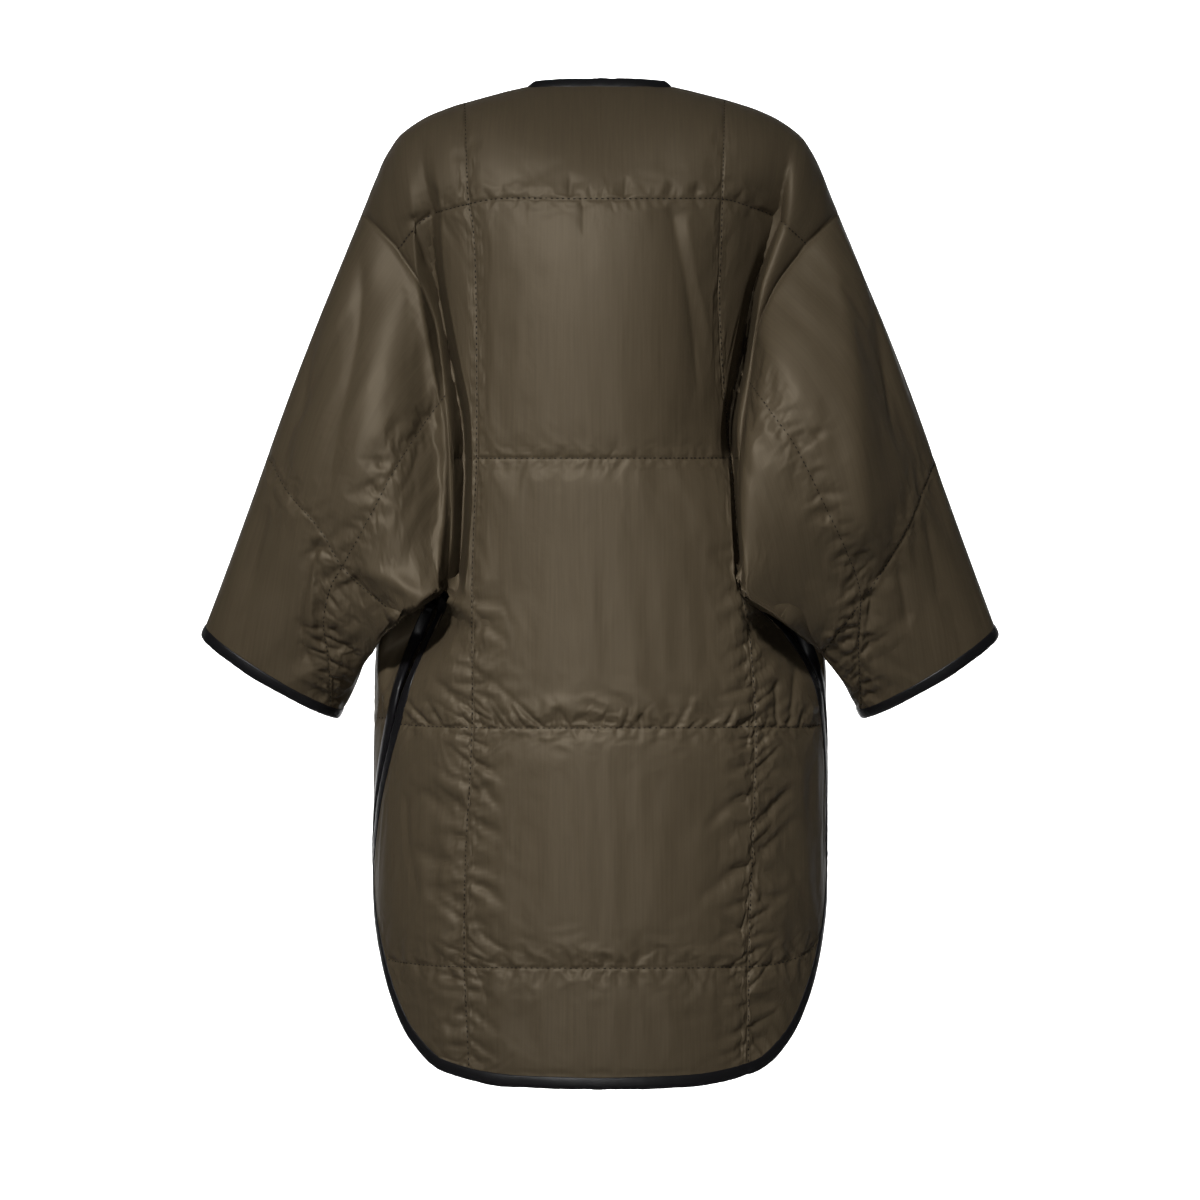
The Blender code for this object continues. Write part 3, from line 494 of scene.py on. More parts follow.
SLEEVE_CREASES = {
    "left": (
        Crease(((0.238, -0.150), (0.244, -0.248), (0.265, -0.350), (0.275, -0.434)),
               0.012, 0.012, 0.006, 0.06, 0.05),
        Crease(((0.280, -0.180), (0.292, -0.280), (0.306, -0.360)), 0.014, 0.014, 0.004, 0.06, 0.05),
        Crease(((0.280, -0.448), (0.293, -0.488), (0.300, -0.519), (0.298, -0.559), (0.285, -0.586)),
               0.005, 0.012, 0.008, 0.015, 0.02),
        Crease(((0.278, -0.455), (0.288, -0.500), (0.288, -0.560)), 0.006, 0.006, -0.003, 0.02, 0.02),
        Crease(((0.330, -0.400), (0.345, -0.470), (0.352, -0.530)), 0.016, 0.012, 0.005, 0.04, 0.05),
        Crease(((0.239, -0.484), (0.210, -0.490), (0.175, -0.512), (0.150, -0.502)),
               0.014, 0.014, -0.006, 0.02, 0.02),
        Crease(((0.256, -0.492), (0.248, -0.520), (0.240, -0.550)), 0.005, 0.005, 0.0036, 0.008, 0.02),
        Crease(((0.249, -0.488), (0.232, -0.529)), 0.005, 0.005, 0.0034, 0.008, 0.02),
        Crease(((0.271, -0.538), (0.250, -0.562), (0.232, -0.583)), 0.005, 0.005, 0.0040, 0.008, 0.02),
        Crease(((0.221, -0.368), (0.220, -0.384)), 0.004, 0.004, 0.0036, 0.004, 0.006),
        Crease(((0.231, -0.393), (0.222, -0.411)), 0.004, 0.005, 0.0040, 0.004, 0.008),
    ),
    "right": (
        Crease(((-0.229, -0.123), (-0.229, -0.164), (-0.235, -0.216), (-0.245, -0.318), (-0.252, -0.387),
                (-0.258, -0.465), (-0.260, -0.495)), 0.050, 0.042, -0.020, 0.14, 0.07),
        Crease(((-0.262, -0.170), (-0.278, -0.270), (-0.292, -0.360)), 0.010, 0.010, 0.004, 0.05, 0.05),
        Crease(((-0.297, -0.470), (-0.305, -0.510), (-0.310, -0.555)), 0.007, 0.009, 0.006, 0.02, 0.03),
        Crease(((-0.322, -0.420), (-0.335, -0.480), (-0.340, -0.530)), 0.010, 0.010, 0.004, 0.03, 0.03),
        Crease(((-0.197, -0.345), (-0.198, -0.362)), 0.004, 0.005, 0.0040, 0.004, 0.006),
        Crease(((-0.215, -0.342), (-0.213, -0.356)), 0.004, 0.004, 0.0034, 0.004, 0.006),
        Crease(((-0.225, -0.420), (-0.222, -0.438)), 0.005, 0.005, 0.0040, 0.005, 0.008),
        Crease(((-0.223, -0.553), (-0.243, -0.535), (-0.257, -0.520)), 0.006, 0.006, -0.005, 0.01, 0.01),
        Crease(((-0.240, -0.560), (-0.252, -0.548)), 0.004, 0.004, 0.0040, 0.004, 0.006),
        Crease(((-0.275, -0.500), (-0.270, -0.540), (-0.274, -0.590)), 0.007, 0.007, 0.0046, 0.015, 0.03),
    ),
}
FRONT_CREASES = (
    Crease(((0.176, -0.090), (0.170, -0.150), (0.160, -0.250)), 0.010, 0.014, 0.008, 0.05, 0.04),
    Crease(((0.060, -0.130), (0.066, -0.200), (0.072, -0.300)), 0.010, 0.012, 0.004, 0.03, 0.08),
    Crease(((0.130, -0.700), (0.100, -0.722), (0.074, -0.744)), 0.006, 0.006, 0.004, 0.01, 0.03),
    Crease(((0.132, -0.780), (0.105, -0.802), (0.085, -0.815)), 0.006, 0.006, 0.0036, 0.01, 0.03),
    Crease(((0.134, -0.745), (0.165, -0.715), (0.190, -0.696)), 0.006, 0.006, 0.004, 0.01, 0.03),
    Crease(((0.134, -0.820), (0.160, -0.792), (0.186, -0.770)), 0.006, 0.006, 0.004, 0.01, 0.03),
)


# Curves through short tables

def smooth(table, key, value, x):
    """Curve through one column of a table that doesn't swing past its rows."""
    xs = np.array([getattr(row, key) for row in table], float)
    ys = np.array([getattr(row, value) for row in table], float)
    steps = np.diff(xs)
    slopes = np.diff(ys) / steps
    tangents = np.concatenate([slopes[:1], np.zeros(len(slopes) - 1), slopes[-1:]])
    same_way = slopes[:-1] * slopes[1:] > 0
    inner = 2 * slopes[:-1] * slopes[1:] / np.where(same_way, slopes[:-1] + slopes[1:], 1)
    tangents[1:-1] = np.where(same_way, inner, 0)
    x = np.clip(x, xs[0], xs[-1])
    i = np.clip(np.searchsorted(xs, x, side="right") - 1, 0, len(steps) - 1)
    t = (x - xs[i]) / steps[i]
    rise = ys[i] * (1 + 2 * t) * (1 - t) ** 2 + ys[i + 1] * t**2 * (3 - 2 * t)
    bend = steps[i] * (tangents[i] * t * (1 - t) ** 2 - tangents[i + 1] * t**2 * (1 - t))
    return rise + bend


def ease(x, low, high):
    """0 below low, 1 above high, and smooth between."""
    t = np.clip((x - low) / (high - low), 0, 1)
    return t * t * (3 - 2 * t)


def unit(vectors):
    return vectors / np.maximum(np.linalg.norm(vectors, axis=-1, keepdims=True), 1e-12)


def path_lengths(points):
    """Length along a path to each of its points."""
    return np.concatenate([[0], np.cumsum(np.linalg.norm(np.diff(points, axis=0), axis=1))])


def along(points, fractions):
    """Points at even fractions of a path's length."""
    lengths = path_lengths(points)
    wanted = np.asarray(fractions) * lengths[-1]
    return np.stack([np.interp(wanted, lengths, points[:, i]) for i in range(points.shape[1])], axis=-1)


def rounded(route):
    """A smooth path through the places of a route, with a point about every step."""
    p = np.array(route, float)
    p = np.concatenate([[2 * p[0] - p[1]], p, [2 * p[-1] - p[-2]]])
    made = []
    for a, b, c, d in zip(p[:-3], p[1:-2], p[2:-1], p[3:]):
        count = max(2, int(np.ceil(np.linalg.norm(c - b) / ROUTE_STEP)))
        t = np.linspace(0, 1, count, endpoint=False)[:, None]
        straight = b + t * (c - a) / 2
        bent = t**2 * (a - 2.5 * b + 2 * c - d / 2)
        twisted = t**3 * (1.5 * (b - c) + (d - a) / 2)
        made.append(straight + bent + twisted)
    made.append(p[-2:-1])
    return np.concatenate(made)


def seen(points):
    """Where points show from behind: out to the wearer's left and up, in the plane of the shoulders."""
    scale = VIEW_DISTANCE / (VIEW_DISTANCE - points[..., 1])
    return points[..., 0] * scale, VIEW_HEIGHT + (points[..., 2] - VIEW_HEIGHT) * scale


# The body's form, as in the solids

def section(value, level):
    return smooth(SECTIONS, "level", value, level)


def shoulder_ridge(side, u):
    """The shoulder seam's line, in the plane y = 0, by fractions of its length."""
    out = np.linspace(0, SHOULDER[-1].out, FINE_STEPS)
    height = smooth(SHOULDER, "out", "height", out)
    line = np.stack([side * out, np.zeros_like(out), height], axis=-1)
    return along(line, u)


def side_name(side):
    return "left" if side > 0 else "right"


def half_width(side, level):
    return section("half_" + side_name(side), level)


def edge_angle(face, side, level):
    """Angle from the panel's middle to its edge, in radians: the armhole, then the slit."""
    back = np.radians(section(side_name(side), level))
    depth = section("back_depth", level)
    pace = np.hypot(half_width(side, level) * np.cos(back), depth * np.sin(back))
    swing = section(side_name(side), level + SLOPE_STEP) - section(side_name(side), level - SLOPE_STEP)
    slope = pace * np.radians(swing) / (2 * SLOPE_STEP)
    slit_edge = (BINDING_WIDTH + SEAM_GAP + SLIT_GAP / 2) * np.hypot(1, slope)
    apart = SEAM_GAP / 2 + slit_edge * ease(level, UNDERARM_LEVEL, SLIT_TOP_LEVEL)
    if face > 0:
        return back - apart / pace
    armhole_edge = np.radians(section("front", level))
    slit = np.pi - back - apart / pace
    below_arm = ease(level, UNDERARM_LEVEL - SIDE_SEAM_BLEND, UNDERARM_LEVEL)
    return armhole_edge + (slit - armhole_edge) * below_arm


def body_row(face, side, u, level):
    """Points of a level section, from the panel's middle (u = 0) to its edge (u = 1)."""
    angle = u * edge_angle(face, side, level)
    square = section("square_" + side_name(side), level)
    past_side = angle > np.pi / 2
    own_depth = section("back_depth" if face > 0 else "front_depth", level)
    other_depth = section("front_depth" if face > 0 else "back_depth", level)
    depth = np.where(past_side, -other_depth, own_depth)
    x = side * half_width(side, level) * np.sin(angle) ** square
    y = face * depth * np.abs(np.cos(angle)) ** square
    z = -level - section("droop", level) * u**DROOP_POWER
    return np.stack([x, y, z], axis=-1)


def shoulder_cap(face, side, u, level):
    """The cloth over the shoulder, rounding from the ridge to the yoke row."""
    t = (level / YOKE_LEVEL)[..., None]
    ridge = shoulder_ridge(side, u)
    yoke = body_row(face, side, u, np.full_like(level, YOKE_LEVEL))
    round_part = ease(u, 0, CAP_ROUND_FROM) * (1 - CAP_ROUNDNESS_AT_NECK) + CAP_ROUNDNESS_AT_NECK
    round_part = round_part[..., None]
    back = t + round_part * (np.sin(t * CAP_ANGLE) / np.sin(CAP_ANGLE) - t)
    down = t + round_part * ((1 - np.cos(t * CAP_ANGLE)) / (1 - np.cos(CAP_ANGLE)) - t)
    share = np.concatenate([down, back, down], axis=-1)
    return ridge + (yoke - ridge) * share


def body(face, side, u, level):
    """Outer face of the body's cloth. face is 1 on the back and -1 on the front."""
    u, level = np.broadcast_arrays(np.asarray(u, float), np.asarray(level, float))
    cap = shoulder_cap(face, side, u, np.minimum(level, YOKE_LEVEL))
    row = body_row(face, side, u, np.maximum(level, YOKE_LEVEL))
    return np.where((level < YOKE_LEVEL)[..., None], cap, row)


def neck_share():
    """Fraction of the shoulder ridge that the neck opening takes up."""
    u = np.linspace(0, 1, FINE_STEPS)
    return float(np.interp(NECK_HALF_WIDTH, shoulder_ridge(1, u)[:, 0], u))


def front_start(side, level):
    """Where a front begins beside the opening, as a fraction of its row."""
    level = np.maximum(level, YOKE_LEVEL)
    out = FRONT_OPENING / 2 + BINDING_WIDTH + SEAM_GAP
    square = section("square_" + side_name(side), level)
    share = (out / half_width(side, level)) ** (1 / square)
    return np.arcsin(share) / edge_angle(-1, side, level)


def panel_top(face, k):
    """Level at which a column of the panel starts: the neckline, then the shoulder seam."""
    fall = BACK_NECK_FALL if face > 0 else FRONT_NECK_FALL
    inside = np.clip(1 - (k / neck_share()) ** NECK_ROUNDNESS, 0, 1) ** (1 / NECK_ROUNDNESS)
    return np.maximum(fall * YOKE_LEVEL * inside, RIDGE_GAP)


def panel_bottom(face, k):
    """Level at which a column of the panel ends: the hem with its round corners."""
    if face > 0:
        return BACK_HEM_LEVEL - smooth(BACK_HEM, "across", "rise", k)
    return FRONT_HEM_LEVEL - smooth(FRONT_HEM, "across", "rise", k)


def panel_point(face, side, k, level):
    """Point of a panel by its column share k, which a front counts from its opening edge."""
    k, level = np.broadcast_arrays(np.asarray(k, float), np.asarray(level, float))
    if face > 0:
        return body(face, side, k, level)
    beside_opening = front_start(side, level) * np.clip(1 - k / neck_share(), 0, 1)
    return body(face, side, k + beside_opening, level)


# The sleeve's form, as in the solids

def armhole_half(face, side):
    """Points of the armhole edge of a panel, from the shoulder to the underarm."""
    level = np.linspace(RIDGE_GAP, UNDERARM_LEVEL, FINE_STEPS)
    return body(face, side, np.ones_like(level), level)


def armhole(side, turn):
    """Armhole seam: from the top of the arm down the back to the underarm, and up the front."""
    behind = along(armhole_half(1, side), np.clip(2 * turn, 0, 1))
    before = along(armhole_half(-1, side), np.clip(2 - 2 * turn, 0, 1))
    return np.where((turn <= 0.5)[..., None], behind, before)


def cuff(side, turn):
    """Cuff line, an ellipse across the sleeve's lower end."""
    angle = 2 * np.pi * turn
    tilt = np.radians(CUFF_TILT)
    across = CUFF_HALF_HEIGHT * np.cos(angle)
    drop = CUFF_BACK_DROP * np.sin(angle)
    x = side * (CUFF_MIDDLE[0] + across * np.cos(tilt) + drop * np.sin(tilt))
    y = CUFF_MIDDLE[1] + CUFF_HALF_DEPTH * np.sin(angle)
    z = CUFF_MIDDLE[2] + across * np.sin(tilt) - drop * np.cos(tilt)
    return np.stack([x, y, z], axis=-1)


def sleeve_lead(side, turn):
    """First stretch of the sleeve's lengthwise line as it leaves the armhole."""
    out = smooth(LEADS, "turn", "out_" + side_name(side), turn)
    back = smooth(LEADS, "turn", "back_" + side_name(side), turn)
    up = smooth(LEADS, "turn", "up", turn)
    way = np.stack([side * out, back, up], axis=-1)
    reach = smooth(LEADS, "turn", "reach", turn)[..., None]
    return unit(way) * reach


def cuff_lead(side, turn):
    """Last stretch of the sleeve's lengthwise line as it reaches the cuff."""
    angle = 2 * np.pi * turn
    inner = (1 - np.cos(angle)) / 2
    slant = np.radians(SLEEVE_SLANT + (CUFF_INNER_SLANT - SLEEVE_SLANT) * inner)
    reach = CUFF_REACH + (CUFF_INNER_REACH - CUFF_REACH) * inner
    x = side * reach * np.sin(slant)
    y = -CUFF_SWELL * np.sin(angle) - CUFF_INNER_BACK * inner
    z = -reach * np.cos(slant)
    return np.stack([x, y, z], axis=-1)


def crevice(side, turn, s):
    """How far the sleeve sinks towards the middle plane in the valley beside the armhole seam."""
    depth = smooth(LEADS, "turn", "crevice_" + side_name(side), turn)
    place = s / CREVICE_PLACE
    return depth * place * np.exp(1 - place)


def clear_of_body(side, points, s):
    """Moves the sleeve's underside out until it hangs just clear of the body below the underarm."""
    x, y = points[..., 0], points[..., 1]
    level = -points[..., 2]
    room = SLEEVE_CLEARANCE * ease(s, 0, CLEAR_FROM_SHARE)
    depth = np.where(y > 0, section("back_depth", level), section("front_depth", level))
    share = np.hypot(x / (half_width(side, level) + room), y / (depth + room))
    below = ease(level, CLEAR_FROM_LEVEL, CLEAR_BY_LEVEL)
    push = 1 + below * (np.maximum(1 / share, 1) - 1)
    points[..., 0] *= push
    points[..., 1] *= push


def sleeve(side, turn, s):
    """Outer face of a sleeve, from the armhole (s = 0) to the cuff (s = 1)."""
    turn, s = np.broadcast_arrays(np.asarray(turn, float), np.asarray(s, float))
    start = armhole(side, turn)
    end = cuff(side, turn)
    handle_1 = start + sleeve_lead(side, turn)
    handle_2 = end - cuff_lead(side, turn)
    t = s[..., None]
    early = start * (1 - t) ** 3 + handle_1 * 3 * t * (1 - t) ** 2
    late = handle_2 * 3 * t**2 * (1 - t) + end * t**3
    points = early + late
    points[..., 1] -= np.where(turn < 0.5, 1, -1) * crevice(side, turn, s)
    clear_of_body(side, points, s)
    return points


# Fine panels

class Panel:
    """A panel's grid of points, with the way they face, flat measures across and down, and edge distances."""

    def __init__(self, name, points, closed, flip, middle=0):
        sink(points, FLANKS, soft, VALLEY_DEPTHS)
        sink(points, VALLEYS, steep, VALLEY_DEPTHS)
        if not closed:
            sink(points, POCKETS, bowl, POCKET_DEPTHS)
        self.name = name
        self.points = points
        self.closed = closed
        self.flip = flip
        self.facing = facing(points, closed, flip)
        self.across = flat_lengths(points, 1)
        self.across -= self.across[:, middle:middle + 1].copy()
        self.down = flat_lengths(points, 0)
        self.edge = edge_distance(points, closed)
        self.seen_x, self.seen_z = seen(points)
        self.relief = np.zeros(points.shape[:2])
        self.shift = np.zeros(points.shape)

    def from_route(self, route):
        return to_route(self.seen_x, self.seen_z, route, self.facing)

    def measure(self, lines):
        """Distances from the panel's stitch lines, from each and from the nearest."""
        self.lines = {name: self.from_route(rounded(route)) for name, route in lines.items()}
        self.nearest = np.min([distance for distance, _, _ in self.lines.values()], axis=0)

    def outer(self):
        """Points of the finished outer face."""
        return self.points + self.facing * self.relief[..., None] + self.shift


def soft(across):
    """Section of a crease: a soft trough with slowly fading flanks."""
    return np.exp(CREST_ROUNDING - np.hypot(across, CREST_ROUNDING))


def steep(across):
    """Section of a valley: two straight steep sides."""
    return np.clip(1 - across, 0, 1)


def bowl(across):
    """Section of a wide hollow."""
    return np.exp(-(across**2))


def sink(points, hollows, section_form, depths):
    """Lets the cloth of the coat's back half sink into hollows, all of it from the second depth on."""
    x, z = seen(points)
    behind = ease(points[..., 1], *depths)
    for hollow in hollows:
        distance, _, length = to_route(x, z, rounded(hollow.route))
        points[..., 1] -= behind * crease_depth(hollow, x, distance, length, section_form)


def crease_depth(crease, x, distance, length, section_form):
    """How deep a crease is at places out by x, with their distances from its route and lengths along it."""
    route = rounded(crease.route)
    lengths = path_lengths(route)
    line_x = np.interp(length, lengths, route[:, 0])
    width = np.where(np.abs(x) > np.abs(line_x), crease.outer, crease.inner)
    share = ease(length, 0, crease.fade_in) * ease(lengths[-1] - length, 0, crease.fade_out)
    return crease.depth * section_form(distance / width) * share


def facing(grid, closed, flip):
    """Directions in which a grid's points face."""
    down = np.gradient(grid, axis=0)
    across = np.gradient(grid, axis=1)
    if closed:
        across = np.roll(grid, -1, axis=1) - np.roll(grid, 1, axis=1)
    made = unit(np.cross(across, down))
    return -made if flip else made


def flat_lengths(grid, axis):
    """Length along each row or column to each of its points."""
    steps = np.linalg.norm(np.diff(grid, axis=axis), axis=-1)
    lengths = np.cumsum(steps, axis=axis)
    start = np.zeros_like(np.take(lengths, [0], axis=axis))
    return np.concatenate([start, lengths], axis=axis)


def edge_distance(grid, closed):
    """Distance of each point from the panel's nearest edge, along its row or column."""
    down = flat_lengths(grid, 0)
    nearest = np.minimum(down, down[-1:] - down)
    if not closed:
        across = flat_lengths(grid, 1)
        nearest = np.minimum(nearest, np.minimum(across, across[:, -1:] - across))
    return nearest


def crowded(count):
    """Shares from 0 to 1 in steps that are closer together at both ends."""
    t = np.linspace(0, 1, count + 1)
    return t - CROWDING * np.sin(2 * np.pi * t) / (2 * np.pi)


def upright_shares(side, levels):
    """Column share at which the back's upright stitch line crosses each level."""
    k = np.linspace(0, 1, FINE_STEPS)
    x, z = seen(body(1, side, k[None, :], levels[:, None]))
    route = rounded(BACK_LINES[side_name(side)])
    past = side * (x - np.interp(-z, -route[:, 1], route[:, 0]))
    return np.array([np.interp(0, row, k) for row in past])


def crossing_levels(name, side, k):
    """Level at which a stitch line across the back meets each column share."""
    level = np.linspace(RIDGE_GAP, BACK_HEM_LEVEL, FINE_STEPS)
    x, z = seen(body(1, side, k[None, :], level[:, None]))
    route = rounded(BACK_LINES[name])
    order = np.argsort(route[:, 0])
    past = np.interp(x, route[order, 0], route[order, 1]) - z
    return np.array([np.interp(0, past[:, j], level) for j in range(len(k))])


def row_stops(side, k):
    """Levels of the back's rows of stitching in each column, between its top and bottom edges."""
    stops = [panel_top(1, k)]
    stops += [crossing_levels(name, side, k) for name in ("yoke", "middle", "low", "hem")]
    stops.append(panel_bottom(1, k))
    for i in range(len(stops) - 2, 0, -1):
        stops[i] = np.minimum(stops[i], stops[i + 1] - SHORTEST_ROW_BAND)
    return stops


def half_back(side):
    """Points of half the back, whose rows and columns follow the stitch lines."""
    inside, outside = (crowded(count) for count in BACK_COLUMN_STEPS)
    c = np.concatenate([LINE_COLUMN * inside, LINE_COLUMN + (1 - LINE_COLUMN) * outside[1:]])[None, :]
    levels = np.linspace(RIDGE_GAP, BACK_HEM_LEVEL, FINE_STEPS)
    line_share = upright_shares(side, levels)
    shares = np.linspace(0, 1, FINE_STEPS)
    stops = row_stops(side, shares)
    k = np.repeat(c, sum(BACK_ROW_STEPS) + 1, axis=0)
    for _ in range(FITTING_ROUNDS):
        bands = []
        for n, count in enumerate(BACK_ROW_STEPS):
            t = crowded(count)[n > 0:, None]
            first = sum(BACK_ROW_STEPS[:n]) + (n > 0)
            band = k[first:first + len(t)]
            above = np.interp(band, shares, stops[n])
            below = np.interp(band, shares, stops[n + 1])
            bands.append(above * (1 - t) + below * t)
        level = np.concatenate(bands)
        line = np.interp(level, levels, line_share)
        within = c / LINE_COLUMN * line
        beyond = line + (c - LINE_COLUMN) / (1 - LINE_COLUMN) * (1 - line)
        k = np.where(c < LINE_COLUMN, within, beyond)
    return body(1, side, k, level), level


def close_shoulders(points):
    """Brings the top row of a panel to the shoulder line, where the back and the fronts are sewn together."""
    top = points[0, :, 1]
    points[0, :, 1] = np.where(np.abs(top) < SHOULDER_CLOSING, 0, top)
    return points


def back_panel():
    left, left_level = half_back(1)
    right, right_level = half_back(-1)
    points = close_shoulders(np.concatenate([right[:, :0:-1], left], axis=1))
    made = Panel("back", points, False, False, left.shape[1] - 1)
    made.level = np.concatenate([right_level[:, :0:-1], left_level], axis=1)
    return made


def front_panel(side):
    k = np.linspace(0, 1, FRONT_COLUMNS)[None, :]
    down = np.linspace(0, 1, FRONT_ROWS)[:, None]
    rise = BACK_HEM_LEVEL - panel_bottom(-1, k)
    level = BACK_HEM_LEVEL * down - rise * down**HEM_ROW_SETTLING
    level = level + panel_top(-1, k) * (1 - down) ** NECK_ROW_SETTLING
    points = close_shoulders(panel_point(-1, side, k, level))
    made = Panel("front_" + side_name(side), points, False, side > 0)
    made.level = level
    return made


def sleeve_panel(side):
    turn = np.linspace(0, 1, SLEEVE_SIDES, endpoint=False)[None, :]
    s = np.linspace(0, 1, SLEEVE_RINGS)[:, None]
    points = sleeve(side, turn, s)
    bulge = BULGES[side_name(side)]
    x, z = seen(points)
    near = np.exp(-(((x - bulge.out) ** 2 + (z - bulge.height) ** 2) / bulge.reach**2))
    near *= ease(flat_lengths(points, 0), 0, BULGE_SEAM)
    points += near[..., None] * np.array(bulge.move)
    return Panel("sleeve_" + side_name(side), points, True, side > 0)


def mirrored(routes, side):
    """Routes drawn for the wearer's left, turned over for the other side."""
    return {name: tuple((side * x, z) for x, z in route) for name, route in routes.items()}


def mirrored_creases(creases, side):
    return tuple(c._replace(route=tuple((side * x, z) for x, z in c.route)) for c in creases)


# Relief of the cloth

def to_route(x, z, route, facing=None):
    """Distance of places from a route, with its side, and the length along the route.

    Where the way the cloth faces is given, the distance is measured along the cloth.
    """
    best = np.full(x.shape, np.inf)
    sign = np.ones(x.shape)
    length = np.zeros(x.shape)
    away_x, away_z = np.zeros(x.shape), np.zeros(x.shape)
    run = 0.0
    for (x1, z1), (x2, z2) in zip(route[:-1], route[1:]):
        dx, dz = x2 - x1, z2 - z1
        size = np.hypot(dx, dz)
        t = np.clip(((x - x1) * dx + (z - z1) * dz) / size**2, 0, 1)
        off_x, off_z = x - x1 - t * dx, z - z1 - t * dz
        distance = np.hypot(off_x, off_z)
        nearer = distance < best
        best = np.where(nearer, distance, best)
        sign = np.where(nearer, np.sign(dx * off_z - dz * off_x), sign)
        length = np.where(nearer, run + t * size, length)
        away_x = np.where(nearer, off_x, away_x)
        away_z = np.where(nearer, off_z, away_z)
        run += size
    if facing is None:
        return best, sign, length
    lost = (away_x * facing[..., 0] + away_z * facing[..., 2]) / np.maximum(best, 1e-9)
    slant = np.sqrt(np.clip(1 - lost**2, LEAST_SQUARED_SLANT, 1))
    return best / slant, sign, length


def quilt(panel):
    """Wadding that lifts the cloth between the stitch lines, and the groove that each line pulls in."""
    lift = PUFF * (1 - np.exp(-panel.nearest / PUFF_SPREAD)) - PUFF_SINK
    groove = GROOVE * np.exp(-((panel.nearest / GROOVE_WIDTH) ** 2))
    panel.relief += (lift - groove) * ease(np.abs(panel.facing[..., 1]), *OUTLINE_FACING)


def pucker(panel, runs, seed):
    """Short uneven creases that gather at the stitch lines."""
    draw = np.random.default_rng(seed)
    turned = ease(np.abs(panel.facing[..., 1]), *OUTLINE_FACING)
    for run in runs:
        distance, sign, length = panel.lines[run.line]
        away = distance * sign * run.side
        place = run.start
        while place < run.end:
            size = run.length * draw.uniform(*PUCKER_LENGTHS)
            deep = run.depth * draw.uniform(*PUCKER_DEPTHS)
            width = draw.uniform(*PUCKER_WIDTHS)
            lean = run.lean + draw.normal(0, PUCKER_LEAN_SPREAD)
            near = (away > 0) & (away < PUCKER_FADED * size) & (np.abs(length - place) < PUCKER_LOOK)
            out = away[near] / size
            u = (length[near] - place - lean * away[near]) / (width * (1 + PUCKER_WIDENING * out))
            reach = np.exp(-(out**2)) * (1 - np.exp(-away[near] / PUCKER_START)) * turned[near]
            panel.relief[near] -= deep * np.exp(-np.abs(u) ** PUCKER_SHARPNESS) * reach
            place += run.spacing * draw.uniform(*PUCKER_SPACINGS)


def fold(panel, creases):
    """Larger listed creases: soft troughs, or ridges where the depth is below zero."""
    for crease in creases:
        distance, _, length = panel.from_route(rounded(crease.route))
        depth = crease_depth(crease, panel.seen_x, distance, length, soft)
        hidden = np.where(panel.facing[..., 1] < 0, HIDDEN_SHARE, 1) if panel.closed else 1
        panel.relief -= depth * hidden * ease(np.abs(panel.facing[..., 1]), *OUTLINE_FACING)


def ripple(across, down, size, seed):
    """Seeded soft unevenness of about unit height, by the usual size of its waves across and down."""
    draw = np.random.default_rng(seed)
    total = np.zeros(across.shape)
    for _ in range(RIPPLE_WAVES):
        turn, phase = draw.uniform(0, 2 * np.pi, 2)
        pace = 2 * np.pi * draw.uniform(*RIPPLE_PACES)
        total += np.sin(pace * (across / size[0] * np.cos(turn) + down / size[1] * np.sin(turn)) + phase)
    return total * np.sqrt(2 / RIPPLE_WAVES)


def crumple(panel, seed):
    """Slight unevenness: long soft drapes all over, and a finer crumple beside the lower stitch lines."""
    drapes = ripple(panel.across, panel.down, DRAPE_SIZE, seed)
    fine = np.abs(ripple(panel.across, panel.down, FINE_CRUMPLE_SIZE, seed + FINE_CRUMPLE_SEED))
    low = ease(-panel.seen_z, *FINE_CRUMPLE_FROM) * np.exp(-((panel.nearest / FINE_CRUMPLE_REACH) ** 2))
    panel.relief += DRAPE_HEIGHT * drapes - FINE_CRUMPLE_HEIGHT * low * fine


def weight_group(made, name, weights):
    """Weights of a mesh's points, in a few even steps."""
    group = made.vertex_groups.new(name=name)
    steps = np.round(weights.ravel() * WEIGHT_STEPS).astype(int)
    for step in range(1, WEIGHT_STEPS + 1):
        group.add(np.nonzero(steps == step)[0].tolist(), step / WEIGHT_STEPS, "REPLACE")


def growth(panel, gathers):
    """How much the cloth grows at each point, less where it turns away at the outline."""
    total = np.zeros(panel.points.shape[:2])
    for part in gathers:
        distance, sign, length = panel.lines[part.line]
        within = ease(length, part.start - GATHER_EASE, part.start + GATHER_EASE)
        within *= 1 - ease(length, part.end - GATHER_EASE, part.end + GATHER_EASE)
        here = within * (sign * part.side >= 0) * np.exp(-((distance / part.reach) ** 2))
        total = np.maximum(total, part.share * here)
    return total * ease(np.abs(panel.facing[..., 1]), *OUTLINE_FACING)


